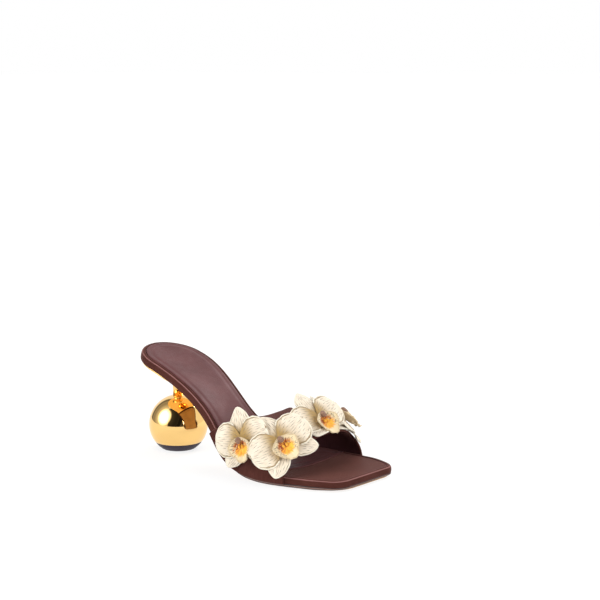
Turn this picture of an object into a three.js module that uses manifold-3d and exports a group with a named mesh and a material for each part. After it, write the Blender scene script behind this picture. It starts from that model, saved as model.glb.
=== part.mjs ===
// Right mule: satin platform, broad toe strap set with four orchids, and a heel that stands on a ball.
// Millimetres. +X runs to the toe, +Y to the inner side of the foot, +Z up.
// The origin is the middle of the heel's flat foot, on the floor.
import * as THREE from 'three';
import { mergeVertices } from 'three/addons/utils/BufferGeometryUtils.js';
import Module from 'manifold-3d';

const wasm = await Module();
wasm.setup();

// Last
const TOE_AHEAD = 184.9; // heel's axis to the front of the toe
const HEEL_BEHIND = 26.8; // heel's axis to the back of the footbed
const HEEL_TOP = 82.5; // footbed above the floor at its back
const TREAD_START = 124.7; // where the footbed has come down flat
const SEAT_SLOPE = 14.8; // degrees that the heel seat falls
const SEAT_PULL = 136.6; // how far the seat's slope carries on down the arch
const TREAD_PULL = 75.5; // how far the tread's level carries on up the arch
const BALL_WIDTH = 89.4; // across the sole at the ball of the foot
const BAND_RISE = 33; // strap's crest above the footbed
const TOE_CORNER = 11; // rounding of the square toe, along the foot
const TOE_ROUND = { lateral: 12, medial: 8 }; // the same, across the foot
const CORNER_LEAD = 1; // the sides' last step before the corners
const TOE_SKEW = 1.4; // outer toe corner behind the inner one

// Layers of the sole
const SEAM = 0.3; // gap between two pieces that meet
const SLIVER = 0.02; // edges shorter than this are closed up
const OUTSOLE = 2;
const ARCH_SOLE = 1.2; // outsole skived thin under the arch
const SOLE_CROWN = 0.8; // outsole's middle below its edge
const TOE_SPRING = 0.8; // underside's lift at the toe
const ARCH_INSET = 3; // outsole's edge inside the platform's edge, under the arch
const FORE_INSET = 0.2; // the same, from the ball of the foot to the toe
const NARROW = 30; // a layer narrower than this swells less
const UNDER_EDGE = 0.6; // small bevel along a layer's edge
const FORE_SIDE = 5.2; // platform's side at the toe
const HEEL_SIDE = 6.6; // platform's side at the heel and arch
const RIDGE = 2.2; // rounding of the platform's top edge
const SOCK = 1.1;
const SOCK_POCKET = 1.1; // depth that the sock is let into the platform
const SOCK_INSET = 3.4; // sock's edge inside the platform's edge
const SOCK_DISH = 0.5; // hollow along the sock's middle
const SOCK_SWELL = 0.2; // soft swell beside the hollow
const TREAD_TOP = SOLE_CROWN + OUTSOLE + SEAM + FORE_SIDE;

// Heel
const BALL_R = 23.5;
const FOOT_R = 13; // flat that the heel stands on
const LIFT = 6; // height of the rubber foot
const NECK_R = 4.15;
const NECK_STRAIGHT = 9; // plain length of the neck above the ball
const FLARE = 12; // widening of the neck into its plate
const PLATE = 1.5;
const PLATE_INSET = 1.1;
const PLATE_TAPER = 2; // the plate's edge draws in by this towards its front
const PLATE_BEVEL = 1;
const NECK_SEAT = 0.6; // ball's flat around the neck

// Strap
const BAND_WALL = 1.7;
const BAND_CROWN = 1.5; // swell of the strap between its two edges
const LEG_TOP = 1; // where the strap leaves the platform's side, below its top
const BAND_ROWS = 8; // faces between the strap's two edges
const BAND_STEPS = 3; // faces between two rows of the edge tables

// Orchids
const ORCHID = 25; // middle of a flower to the tip of a sepal
const LEAF = 1.1; // thickness of a petal
const PAD_R = 3.4;
const PAD = 10.5; // depth of the pad behind the sepals, down to the strap
const PETAL_STEP = LEAF + SEAM; // from one layer of a flower to the next
const EDGE_REACH = 3; // past the strap's edge by this much, a leaf hangs free

const TAU = Math.PI * 2;
const toRadians = THREE.MathUtils.degToRad;
const lerp = THREE.MathUtils.lerp;
const smoothstep = THREE.MathUtils.smoothstep;

// Half widths of the sole, as shares of the ball's width, at shares of the sole's length
const SOLE_WIDTHS = [
  { along: 0, lateral: 0.320, medial: 0.299 },
  { along: 0.14, lateral: 0.330, medial: 0.308 },
  { along: 0.42, lateral: 0.366, medial: 0.168 },
  { along: 0.73, lateral: 0.482, medial: 0.518 },
  { along: 0.88, lateral: 0.405, medial: 0.512 },
  { along: 1, lateral: 0.285, medial: 0.415 },
];
const HEEL_ROUND = 0.118; // share of the length that the round heel takes
const OUTSOLE_BACK = 0.262; // where the outsole starts, ahead of the heel's plate
const PLATE_FRONT = 0.26;

// Where the sock's front edge lies, as shares of the length, and its furthest point across the ball
const SOCK_FRONT = { along: 0.804, lateral: 0.72, medial: 0.785, apex: 0 };

// The strap's two edges, across the foot from the outer side: shares of the toe's reach ahead,
// of the ball's width across, and of the strap's rise
const REAR_EDGE = {
  lateralFoot: 0.475,
  medialFoot: 0.575,
  rows: [
    { ahead: 0.443, across: -0.412, rise: 0.84 },
    { ahead: 0.497, across: -0.280, rise: 0.96 },
    { ahead: 0.530, across: -0.090, rise: 0.97 },
    { ahead: 0.535, across: 0.090, rise: 0.99 },
    { ahead: 0.524, across: 0.246, rise: 0.98 },
    { ahead: 0.503, across: 0.372, rise: 0.76 },
    { ahead: 0.487, across: 0.414, rise: 0.42 },
  ],
};
const FRONT_EDGE = {
  lateralFoot: 0.817,
  medialFoot: 0.838,
  rows: [
    { ahead: 0.788, across: -0.434, rise: 0.357 },
    { ahead: 0.796, across: -0.314, rise: 0.61 },
    { ahead: 0.808, across: -0.110, rise: 0.725 },
    { ahead: 0.811, across: 0.090, rise: 0.743 },
    { ahead: 0.813, across: 0.241, rise: 0.68 },
    { ahead: 0.794, across: 0.380, rise: 0.485 },
    { ahead: 0.793, across: 0.484, rise: 0.204 },
  ],
};

// Where each orchid is sewn on: share of the strap's width from its rear edge, share of the way across
// from the outer foot, how far its middle stands off, the heading and the upward tilt that it faces in
// degrees, the turn of its upper sepal to the left, and its size
const ORCHIDS = [
  { name: 'orchid_1', along: 0.4, across: 0.19, stand: 4, heading: -80, tilt: 9, turn: 18, size: 0.98 },
  { name: 'orchid_2', along: 0.83, across: 0.25, stand: 4.1, heading: -56, tilt: 37, turn: 41, size: 1.07 },
  { name: 'orchid_3', along: 0.74, across: 0.488, stand: 4.1, heading: -12, tilt: 45, turn: 13, size: 1.05 },
  { name: 'orchid_4', along: 0.665, across: 0.681, stand: 7.2, heading: 49, tilt: 47, turn: 5, size: 1.12 },
];

// Leaves of a flower: direction in degrees, reach and half width as shares of the orchid's size, rise of
// the tip and cupping of the sides as shares of the reach, roundness of the outline, and faces across
const SEPALS = [
  { turn: 90, reach: 1, half: 0.35, tip: -0.08, cup: -0.10, round: 1.5, faces: 2 },
  { turn: 222, reach: 0.98, half: 0.33, tip: -0.10, cup: -0.10, round: 1.5, faces: 2 },
  { turn: 318, reach: 0.98, half: 0.33, tip: -0.10, cup: -0.10, round: 1.5, faces: 2 },
];
const PETALS = [
  { turn: 168, reach: 0.92, half: 0.52, tip: -0.05, cup: -0.08, round: 2.4, faces: 4 },
  { turn: 12, reach: 0.92, half: 0.52, tip: -0.05, cup: -0.08, round: 2.4, faces: 4 },
];
const LIP_LOBES = [
  { turn: 270, reach: 0.70, half: 0.20, tip: 0.12, cup: 0.10, round: 2.2, faces: 2 },
];
const CUP_WIDE = 0.36; // half width of the lip's cup, as a share of the orchid
const CUP_TALL = 0.30;
const CUP_DEEP = 0.20;
const CUP_DROP = 0.22; // cup's middle below the flower's middle
const COLUMN_WIDE = 0.08; // half sizes of the column over the cup
const COLUMN_TALL = 0.1;
const COLUMN_RISE = 0.02; // column's middle above the flower's middle
const LEAF_STEPS = 6; // faces along a leaf

// Higher layers are kept whole, and what lies under them is cut clear by the seam's width
const LAYERS = [
  ['orchid_1', 'sepals'],
  ['orchid_4', 'sepals'],
  ['orchid_2', 'sepals'],
  ['orchid_3', 'sepals'],
  ['orchid_1', 'petals'],
  ['orchid_4', 'petals'],
  ['orchid_3', 'petals'],
  ['orchid_2', 'petals'],
  ['orchid_1', 'lip'],
  ['orchid_4', 'lip'],
  ['orchid_3', 'lip'],
  ['orchid_2', 'lip'],
];

// Finishes
const FINISH = {
  satin: { color: 0x5a3838, roughness: 0.5, metalness: 0 },
  leather: { color: 0x6b4546, roughness: 0.45, metalness: 0 },
  sole: { color: 0x241a1c, roughness: 0.6, metalness: 0 },
  rubber: { color: 0x1e1820, roughness: 0.7, metalness: 0 },
  gold: { color: 0xd9a548, roughness: 0.12, metalness: 1 },
  petal: { color: 0xe8dec8, roughness: 0.85, metalness: 0 },
  lip: { color: 0xe0a040, roughness: 0.8, metalness: 0 },
};

const shoe = new THREE.Group();

function addPiece(name, geometry, finish) {
  const mesh = new THREE.Mesh(geometry, new THREE.MeshStandardMaterial(FINISH[finish]));
  mesh.name = name;
  shoe.add(mesh);
}

// A closed geometry as a solid that can be joined and cut
function asSolid(geometry) {
  const bare = new THREE.BufferGeometry();
  bare.setAttribute('position', geometry.getAttribute('position'));
  bare.setIndex(geometry.getIndex());
  const merged = mergeVertices(bare, 1e-4);
  const corners = merged.getIndex().array;
  const kept = [];
  for (let i = 0; i < corners.length; i += 3) {
    const [a, b, c] = [corners[i], corners[i + 1], corners[i + 2]];
    if (a !== b && b !== c && c !== a) kept.push(a, b, c);
  }
  const mesh = new wasm.Mesh({
    numProp: 3,
    vertProperties: new Float32Array(merged.getAttribute('position').array),
    triVerts: new Uint32Array(kept),
  });
  return new wasm.Manifold(mesh);
}

function asGeometry(solid) {
  const mesh = solid.simplify(SLIVER).getMesh();
  const geometry = new THREE.BufferGeometry();
  geometry.setAttribute('position', new THREE.BufferAttribute(mesh.vertProperties, 3));
  geometry.setIndex(new THREE.BufferAttribute(mesh.triVerts, 1));
  return geometry;
}

function gridGeometry(points, corners) {
  const geometry = new THREE.BufferGeometry();
  geometry.setFromPoints(points);
  geometry.setIndex(corners);
  return geometry;
}

// Smooth curve through a table's column, with no overshoot between rows
function columnAt(rows, column, along) {
  const last = rows.length - 1;
  const at = THREE.MathUtils.clamp(along, rows[0].along, rows[last].along);
  let k = 0;
  while (k < last - 1 && at > rows[k + 1].along) k += 1;
  const step = rows[k + 1].along - rows[k].along;
  const t = (at - rows[k].along) / step;
  const from = rowSlope(rows, column, k);
  const to = rowSlope(rows, column, k + 1);
  const rise = rows[k + 1][column] - rows[k][column];
  const bend = t * t * (3 - 2 * t) * rise;
  return rows[k][column] + bend + step * t * (1 - t) * ((1 - t) * from - t * to);
}

function rowSlope(rows, column, k) {
  const slope = (i) => (rows[i + 1][column] - rows[i][column]) / (rows[i + 1].along - rows[i].along);
  if (k === 0) return slope(0);
  if (k === rows.length - 1) return slope(k - 1);
  const before = slope(k - 1);
  const after = slope(k);
  if (before * after <= 0) return 0;
  return (2 * before * after) / (before + after);
}

// The footbed's profile, from the back of the heel to the toe
function makeSpine() {
  const fall = toRadians(SEAT_SLOPE);
  const back = new THREE.Vector2(-HEEL_BEHIND, HEEL_TOP);
  const seat = new THREE.Vector2(Math.cos(fall), -Math.sin(fall)).multiplyScalar(SEAT_PULL).add(back);
  const tread = new THREE.Vector2(TREAD_START, TREAD_TOP);
  const arch = new THREE.Vector2(TREAD_START - TREAD_PULL, TREAD_TOP);
  const toe = new THREE.Vector2(TOE_AHEAD, TREAD_TOP);
  const path = new THREE.CurvePath();
  path.add(new THREE.CubicBezierCurve(back, seat, arch, tread));
  path.add(new THREE.LineCurve(tread, toe));
  return path;
}

const spine = makeSpine();
const SOLE_LENGTH = spine.getLength();
const TOE_START = 1 - (TOE_CORNER + CORNER_LEAD) / SOLE_LENGTH; // share where the toe's corners begin

// A place on the shoe: distance along the footbed, distance across, height square to the footbed
function lay(along, across, height) {
  const share = THREE.MathUtils.clamp(along / SOLE_LENGTH, 0, 1);
  const spot = spine.getPoint(share);
  const step = 0.002;
  const before = spine.getPoint(Math.max(share - step, 0));
  const after = spine.getPoint(Math.min(share + step, 1));
  const tangent = after.sub(before).normalize();
  const over = along - share * SOLE_LENGTH;
  const x = spot.x + tangent.x * over - tangent.y * height;
  const z = spot.y + tangent.y * over + tangent.x * height;
  return new THREE.Vector3(x, across, z);
}

function halfWidth(along, side) {
  const share = along / SOLE_LENGTH;
  const round = THREE.MathUtils.clamp(share / HEEL_ROUND, 0, 1);
  const width = columnAt(SOLE_WIDTHS, side, share) * BALL_WIDTH;
  return width * Math.sqrt(1 - (1 - round) ** 2);
}

// Height of a layer below the footbed, read off at a distance ahead of the heel's axis
function heightAt(ahead, height) {
  const steps = 200;
  let best = lay(0, 0, height);
  for (let i = 1; i <= steps; i += 1) {
    const spot = lay((SOLE_LENGTH * i) / steps, 0, height);
    if (spot.x >= ahead) {
      const t = (ahead - best.x) / (spot.x - best.x);
      return lerp(best.z, spot.z, t);
    }
    best = spot;
  }
  return best.z;
}

function sideDepth(share) {
  return lerp(HEEL_SIDE, FORE_SIDE, smoothstep(share, 0.42, 0.62));
}

// Pairs of edge points, outer side and inner side, from the back to the front
function edgePairs(from, to, steps) {
  const pairs = [];
  for (let i = 0; i <= steps; i += 1) {
    const along = SOLE_LENGTH * lerp(from, to, i / steps);
    const lateral = new THREE.Vector2(along, -halfWidth(along, 'lateral'));
    pairs.push({ lateral, medial: new THREE.Vector2(along, halfWidth(along, 'medial')) });
  }
  return pairs;
}

function heelPairs(steps) {
  const pairs = [];
  for (let i = 0; i < steps; i += 1) {
    const along = SOLE_LENGTH * HEEL_ROUND * (1 - Math.cos((Math.PI / 2) * (i / steps)));
    const lateral = new THREE.Vector2(along, -halfWidth(along, 'lateral'));
    pairs.push({ lateral, medial: new THREE.Vector2(along, halfWidth(along, 'medial')) });
  }
  return pairs;
}

// Rounded corners of the square toe
function toePairs(steps) {
  const start = SOLE_LENGTH - TOE_CORNER;
  const sides = { lateral: -1, medial: 1 };
  const corner = {};
  for (const [side, sign] of Object.entries(sides)) {
    const front = SOLE_LENGTH - (side === 'lateral' ? TOE_SKEW : 0);
    const edge = new THREE.Vector2(start, sign * halfWidth(start, side));
    const tip = new THREE.Vector2(front, sign * halfWidth(front, side));
    const inner = new THREE.Vector2(front, tip.y - sign * TOE_ROUND[side]);
    corner[side] = new THREE.QuadraticBezierCurve(edge, tip, inner);
  }
  const pairs = [];
  for (let i = 0; i <= steps; i += 1) {
    const t = i / steps;
    pairs.push({ lateral: corner.lateral.getPoint(t), medial: corner.medial.getPoint(t) });
  }
  return pairs;
}

// The sock's front edge, an arc that is furthest ahead in the middle
function sockFrontPairs(steps) {
  const arc = {};
  const apex = new THREE.Vector2(SOCK_FRONT.along * SOLE_LENGTH, SOCK_FRONT.apex * BALL_WIDTH);
  for (const side of ['lateral', 'medial']) {
    const sign = side === 'lateral' ? -1 : 1;
    const along = SOCK_FRONT[side] * SOLE_LENGTH;
    const edge = new THREE.Vector2(along, sign * halfWidth(along, side));
    const pull = new THREE.Vector2(apex.x, lerp(apex.y, edge.y, 0.55));
    arc[side] = new THREE.QuadraticBezierCurve(edge, pull, apex);
  }
  const pairs = [];
  for (let i = 1; i <= steps; i += 1) {
    const t = i / steps;
    pairs.push({ lateral: arc.lateral.getPoint(t), medial: arc.medial.getPoint(t) });
  }
  return pairs;
}

function sockPairs() {
  const pairs = [...heelPairs(7)];
  const steps = 22;
  for (let i = 0; i <= steps; i += 1) {
    const point = (side, sign) => {
      const along = SOLE_LENGTH * lerp(HEEL_ROUND, SOCK_FRONT[side], i / steps);
      return new THREE.Vector2(along, sign * halfWidth(along, side));
    };
    pairs.push({ lateral: point('lateral', -1), medial: point('medial', 1) });
  }
  pairs.push(...sockFrontPairs(6));
  return pairs;
}

// One ring of a layer: the outline drawn in by its inset, at its height
function ringPoints(pairs, inset, height) {
  const outer = pairs.map((pair) => pair.lateral);
  const inner = pairs.map((pair) => pair.medial);
  const loop = [...outer, ...inner.reverse()].filter((spot, i, all) => {
    const next = all[(i + 1) % all.length];
    return spot.distanceTo(next) > 1e-6;
  });
  const value = (size, share) => (typeof size === 'function' ? size(share) : size);
  const moved = new Map();
  loop.forEach((spot, i) => {
    const before = loop[(i + loop.length - 1) % loop.length];
    const after = loop[(i + 1) % loop.length];
    const into = spot.clone().sub(before).normalize();
    const out = after.clone().sub(spot).normalize();
    const along = into.clone().add(out).normalize();
    const reach = 1 / Math.max(along.dot(into), 0.5);
    const share = spot.x / SOLE_LENGTH;
    const push = value(inset, share) * reach;
    const x = spot.x - along.y * push;
    const y = spot.y + along.x * push;
    moved.set(`${spot.x},${spot.y}`, lay(x, y, value(height, share)));
  });
  const find = (spot) => moved.get(`${spot.x},${spot.y}`);
  return pairs.map((pair) => ({ lateral: find(pair.lateral), medial: find(pair.medial) }));
}

// A layer of the sole from rings, lowest first; each cap may swell across by a table of columns
function layerSolid(pairs, levels, caps = {}) {
  const rings = levels.map((level) => ringPoints(pairs, level.inset, level.height));
  const points = [];
  const corners = [];
  const put = (spot) => points.push(spot) - 1;
  const quad = (a, b, c, d) => corners.push(a, b, c, a, c, d);
  const last = pairs.length - 1;
  const mark = ({ lateral, medial }) => ({ lateral: put(lateral), medial: put(medial) });
  const marks = rings.map((ring) => ring.map(mark));
  for (let k = 0; k < rings.length - 1; k += 1) {
    const [low, high] = [marks[k], marks[k + 1]];
    for (let i = 0; i < last; i += 1) {
      quad(low[i].lateral, low[i + 1].lateral, high[i + 1].lateral, high[i].lateral);
      quad(low[i + 1].medial, low[i].medial, high[i].medial, high[i + 1].medial);
    }
    quad(low[last].lateral, low[last].medial, high[last].medial, high[last].lateral);
    quad(low[0].medial, low[0].lateral, high[0].lateral, high[0].medial);
  }
  const cap = (level, swell, up) => {
    const rows = pairs.map((pair, i) => {
      const { lateral, medial } = rings[level][i];
      const width = lateral.distanceTo(medial);
      const full = Math.min(width / NARROW, 1);
      const row = [marks[level][i].lateral];
      for (const { across, rise } of swell) {
        const spot = lateral.clone().lerp(medial, across);
        const share = pair.lateral.x / SOLE_LENGTH;
        spot.add(squareUp(share).multiplyScalar(rise(share) * full));
        row.push(put(spot));
      }
      row.push(marks[level][i].medial);
      return row;
    });
    for (let i = 0; i < last; i += 1) {
      for (let j = 0; j < rows[i].length - 1; j += 1) {
        const ring = [rows[i][j], rows[i + 1][j], rows[i + 1][j + 1], rows[i][j + 1]];
        if (up) quad(...ring);
        else quad(ring[3], ring[2], ring[1], ring[0]);
      }
    }
    if (swell.length > 0) {
      closeEnd(rows[0], up);
      closeEnd(rows[last], !up);
    }
  };
  const closeEnd = (row, forward) => {
    for (let j = 1; j < row.length - 1; j += 1) {
      const tri = [row[0], row[j], row[j + 1]];
      if (forward) corners.push(tri[0], tri[1], tri[2]);
      else corners.push(tri[0], tri[2], tri[1]);
    }
  };
  cap(0, caps.under ?? [], false);
  cap(rings.length - 1, caps.over ?? [], true);
  return asSolid(gridGeometry(points, corners));
}

function squareUp(share) {
  const along = share * SOLE_LENGTH;
  return lay(along, 0, 1).sub(lay(along, 0, 0));
}

function makePlatform() {
  const pairs = [...heelPairs(8), ...edgePairs(HEEL_ROUND, TOE_START, 24), ...toePairs(5)];
  const under = (share) => -sideDepth(share);
  const lower = (share) => UNDER_EDGE - sideDepth(share);
  const body = layerSolid(pairs, [
    { inset: UNDER_EDGE, height: under },
    { inset: 0, height: lower },
    { inset: 0, height: -RIDGE },
    { inset: RIDGE * 0.14, height: -RIDGE * 0.5 },
    { inset: RIDGE * 0.45, height: -RIDGE * 0.16 },
    { inset: RIDGE, height: 0 },
  ]);
  const pocket = layerSolid(sockPairs(), [
    { inset: SOCK_INSET - SEAM, height: -SOCK_POCKET },
    { inset: SOCK_INSET - SEAM, height: SOCK_POCKET },
  ]);
  return body.subtract(pocket);
}

function makeSock() {
  const swell = (across, rise) => ({ across, rise: () => rise });
  const base = SEAM - SOCK_POCKET;
  return layerSolid(sockPairs(), [
    { inset: SOCK_INSET, height: base },
    { inset: SOCK_INSET, height: base + SOCK * 0.6 },
    { inset: SOCK_INSET + UNDER_EDGE, height: base + SOCK },
  ], {
    over: [
      swell(0.12, SOCK_SWELL),
      swell(0.28, -SOCK_DISH * 0.6),
      swell(0.5, -SOCK_DISH),
      swell(0.72, -SOCK_DISH * 0.6),
      swell(0.88, SOCK_SWELL),
    ],
  });
}

function makeOutsole() {
  const pairs = [...edgePairs(OUTSOLE_BACK, TOE_START, 24), ...toePairs(5)];
  const fore = (share) => smoothstep(share, 0.5, 0.68);
  const spring = (share) => TOE_SPRING * smoothstep(share, 0.9, 1);
  const top = (share) => -sideDepth(share) - SEAM;
  const thick = (share) => lerp(ARCH_SOLE, OUTSOLE, fore(share)) - spring(share);
  const inset = (share) => lerp(ARCH_INSET, FORE_INSET, fore(share));
  const crown = (share) => -SOLE_CROWN * fore(share);
  return layerSolid(pairs, [
    { inset: (share) => inset(share) + UNDER_EDGE, height: (share) => top(share) - thick(share) },
    { inset, height: (share) => top(share) - thick(share) * 0.75 },
    { inset, height: top },
  ], {
    under: [
      { across: 0.1, rise: crown },
      { across: 0.5, rise: crown },
      { across: 0.9, rise: crown },
    ],
  });
}

// Neck that flares into the plate under the heel seat
function makeStem() {
  const plateTop = (share) => -sideDepth(share) - SEAM;
  const thin = (share) => lerp(PLATE, PLATE * 0.4, smoothstep(share, 0.18, PLATE_FRONT));
  const pairs = [...heelPairs(8), ...edgePairs(HEEL_ROUND, PLATE_FRONT, 8)];
  const inset = (share) => PLATE_INSET + PLATE_TAPER * smoothstep(share, 0.16, PLATE_FRONT);
  const plate = layerSolid(pairs, [
    { inset: (share) => inset(share) + PLATE_BEVEL, height: (share) => plateTop(share) - thin(share) },
    { inset, height: (share) => plateTop(share) - thin(share) * 0.6 },
    { inset, height: plateTop },
  ]);
  const underPlate = -HEEL_SIDE - SEAM - PLATE;
  const foot = ballTop() + SEAM;
  const bend = foot + NECK_STRAIGHT;
  const around = 24;
  const rows = 7;
  const points = [new THREE.Vector3(0, 0, foot)];
  const corners = [];
  const spin = (radius, k) => [radius * Math.cos((TAU * k) / around), radius * Math.sin((TAU * k) / around)];
  for (let i = -1; i <= rows; i += 1) {
    const t = Math.max(i, 0) / rows;
    const radius = NECK_R + FLARE * (1 - Math.sqrt(1 - (t * 0.98) ** 2));
    for (let k = 0; k < around; k += 1) {
      const [x, y] = spin(radius, k);
      const seat = heightAt(x, underPlate + PLATE * 0.5);
      const z = i < 0 ? foot : lerp(bend, seat, t);
      points.push(new THREE.Vector3(x, y, z));
    }
  }
  const rings = rows + 2;
  for (let i = 0; i < rings - 1; i += 1) {
    for (let k = 0; k < around; k += 1) {
      const low = 1 + i * around;
      const high = low + around;
      const next = (k + 1) % around;
      corners.push(low + k, low + next, high + next, low + k, high + next, high + k);
    }
  }
  const top = points.push(new THREE.Vector3(0, 0, heightAt(0, underPlate + PLATE * 0.5))) - 1;
  for (let k = 0; k < around; k += 1) {
    const next = (k + 1) % around;
    const high = 1 + (rings - 1) * around;
    corners.push(0, 1 + next, 1 + k, top, high + k, high + next);
  }
  return plate.add(asSolid(gridGeometry(points, corners)));
}

function ballMiddle() {
  return Math.sqrt(BALL_R ** 2 - FOOT_R ** 2);
}

function ballTop() {
  return ballMiddle() + Math.sqrt(BALL_R ** 2 - (NECK_R + NECK_SEAT) ** 2);
}

// Part of the ball between two heights, turned about the heel's axis
function ballSlice(from, to, steps) {
  const middle = ballMiddle();
  const start = Math.asin((from - middle) / BALL_R);
  const end = Math.asin((to - middle) / BALL_R);
  const profile = [new THREE.Vector2(0, from)];
  for (let i = 0; i <= steps; i += 1) {
    const angle = lerp(start, end, i / steps);
    profile.push(new THREE.Vector2(BALL_R * Math.cos(angle), middle + BALL_R * Math.sin(angle)));
  }
  profile.push(new THREE.Vector2(0, to));
  const ball = new THREE.LatheGeometry(profile, 28);
  ball.rotateX(Math.PI / 2);
  return ball;
}

// Point on the strap's lining: share from the rear edge to the front, then the whole section across
function bandSection(v) {
  const mix = (key) => lerp(REAR_EDGE[key], FRONT_EDGE[key], v);
  const foot = (side, sign, height) => {
    const along = mix(`${side}Foot`) * SOLE_LENGTH;
    return lay(along, sign * (halfWidth(along, side) + SEAM * 1.2), height);
  };
  const depth = (side) => SEAM - sideDepth(mix(`${side}Foot`));
  const controls = [foot('lateral', -1, depth('lateral')), foot('lateral', -1, -LEG_TOP)];
  REAR_EDGE.rows.forEach((rear, i) => {
    const front = FRONT_EDGE.rows[i];
    const spot = new THREE.Vector3(
      lerp(rear.ahead, front.ahead, v) * TOE_AHEAD,
      lerp(rear.across, front.across, v) * BALL_WIDTH,
      TREAD_TOP + lerp(rear.rise, front.rise, v) * BAND_RISE,
    );
    const out = new THREE.Vector3(0, spot.y, spot.z - TREAD_TOP).normalize();
    controls.push(spot.addScaledVector(out, BAND_CROWN * 4 * v * (1 - v)));
  });
  controls.push(foot('medial', 1, -LEG_TOP), foot('medial', 1, depth('medial')));
  return new THREE.CatmullRomCurve3(controls, false, 'centripetal');
}

function bandPoint(v, w) {
  return bandSection(v).getPoint(w);
}

function bandNormal(v, w) {
  const step = 0.01;
  const clamp = (value) => THREE.MathUtils.clamp(value, 0, 1);
  const across = bandPoint(v, clamp(w + step)).sub(bandPoint(v, clamp(w - step)));
  const along = bandPoint(clamp(v + step), w).sub(bandPoint(clamp(v - step), w));
  return along.cross(across).normalize();
}

function bandSolid(lining, face) {
  const segments = REAR_EDGE.rows.length + 3;
  const shares = [0, 1 / segments];
  for (let i = 1; i <= (segments - 2) * BAND_STEPS; i += 1) {
    shares.push((1 + i / BAND_STEPS) / segments);
  }
  shares.push(1);
  const points = [];
  const corners = [];
  const width = shares.length;
  for (let j = 0; j <= BAND_ROWS; j += 1) {
    const v = j / BAND_ROWS;
    for (const w of shares) {
      const spot = bandPoint(v, w);
      const normal = bandNormal(v, w);
      points.push(spot.clone().addScaledVector(normal, lining));
      points.push(spot.clone().addScaledVector(normal, face));
    }
  }
  const mark = (j, i, side) => 2 * (j * width + i) + side;
  const quad = (a, b, c, d) => corners.push(a, b, c, a, c, d);
  for (let j = 0; j < BAND_ROWS; j += 1) {
    for (let i = 0; i < width - 1; i += 1) {
      quad(mark(j, i, 1), mark(j + 1, i, 1), mark(j + 1, i + 1, 1), mark(j, i + 1, 1));
      quad(mark(j, i, 0), mark(j, i + 1, 0), mark(j + 1, i + 1, 0), mark(j + 1, i, 0));
    }
    const end = width - 1;
    quad(mark(j, 0, 0), mark(j + 1, 0, 0), mark(j + 1, 0, 1), mark(j, 0, 1));
    quad(mark(j + 1, end, 0), mark(j, end, 0), mark(j, end, 1), mark(j + 1, end, 1));
  }
  for (let i = 0; i < width - 1; i += 1) {
    quad(mark(0, i, 0), mark(0, i, 1), mark(0, i + 1, 1), mark(0, i + 1, 0));
    quad(mark(BAND_ROWS, i, 1), mark(BAND_ROWS, i, 0), mark(BAND_ROWS, i + 1, 0), mark(BAND_ROWS, i + 1, 1));
  }
  return asSolid(gridGeometry(points, corners));
}

// Points over the strap's lining, for keeping the leaves off it
function sampleBand() {
  const samples = [];
  const rows = 24;
  const columns = 60;
  for (let j = 0; j <= rows; j += 1) {
    for (let i = 0; i <= columns; i += 1) {
      const [v, w] = [j / rows, i / columns];
      samples.push({ spot: bandPoint(v, w), normal: bandNormal(v, w) });
    }
  }
  return samples;
}

const bandSamples = sampleBand();

// Lifts a point until it stands the given height off the strap's lining
function clearOfBand(spot, height) {
  let nearest = bandSamples[0];
  for (const sample of bandSamples) {
    if (spot.distanceToSquared(sample.spot) < spot.distanceToSquared(nearest.spot)) nearest = sample;
  }
  const over = spot.clone().sub(nearest.spot);
  const stand = over.dot(nearest.normal);
  const beside = over.addScaledVector(nearest.normal, -stand).length();
  if (beside > EDGE_REACH || stand > height) return spot;
  return spot.addScaledVector(nearest.normal, height - stand);
}

// Width of a leaf along its length, narrow at its base and round at its tip
function leafSwell(leaf, t) {
  const oval = (1 - Math.abs(2 * t - 1) ** leaf.round) ** (1 / leaf.round);
  return oval * lerp(0.6, 1, smoothstep(t, 0, 0.45));
}

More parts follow.
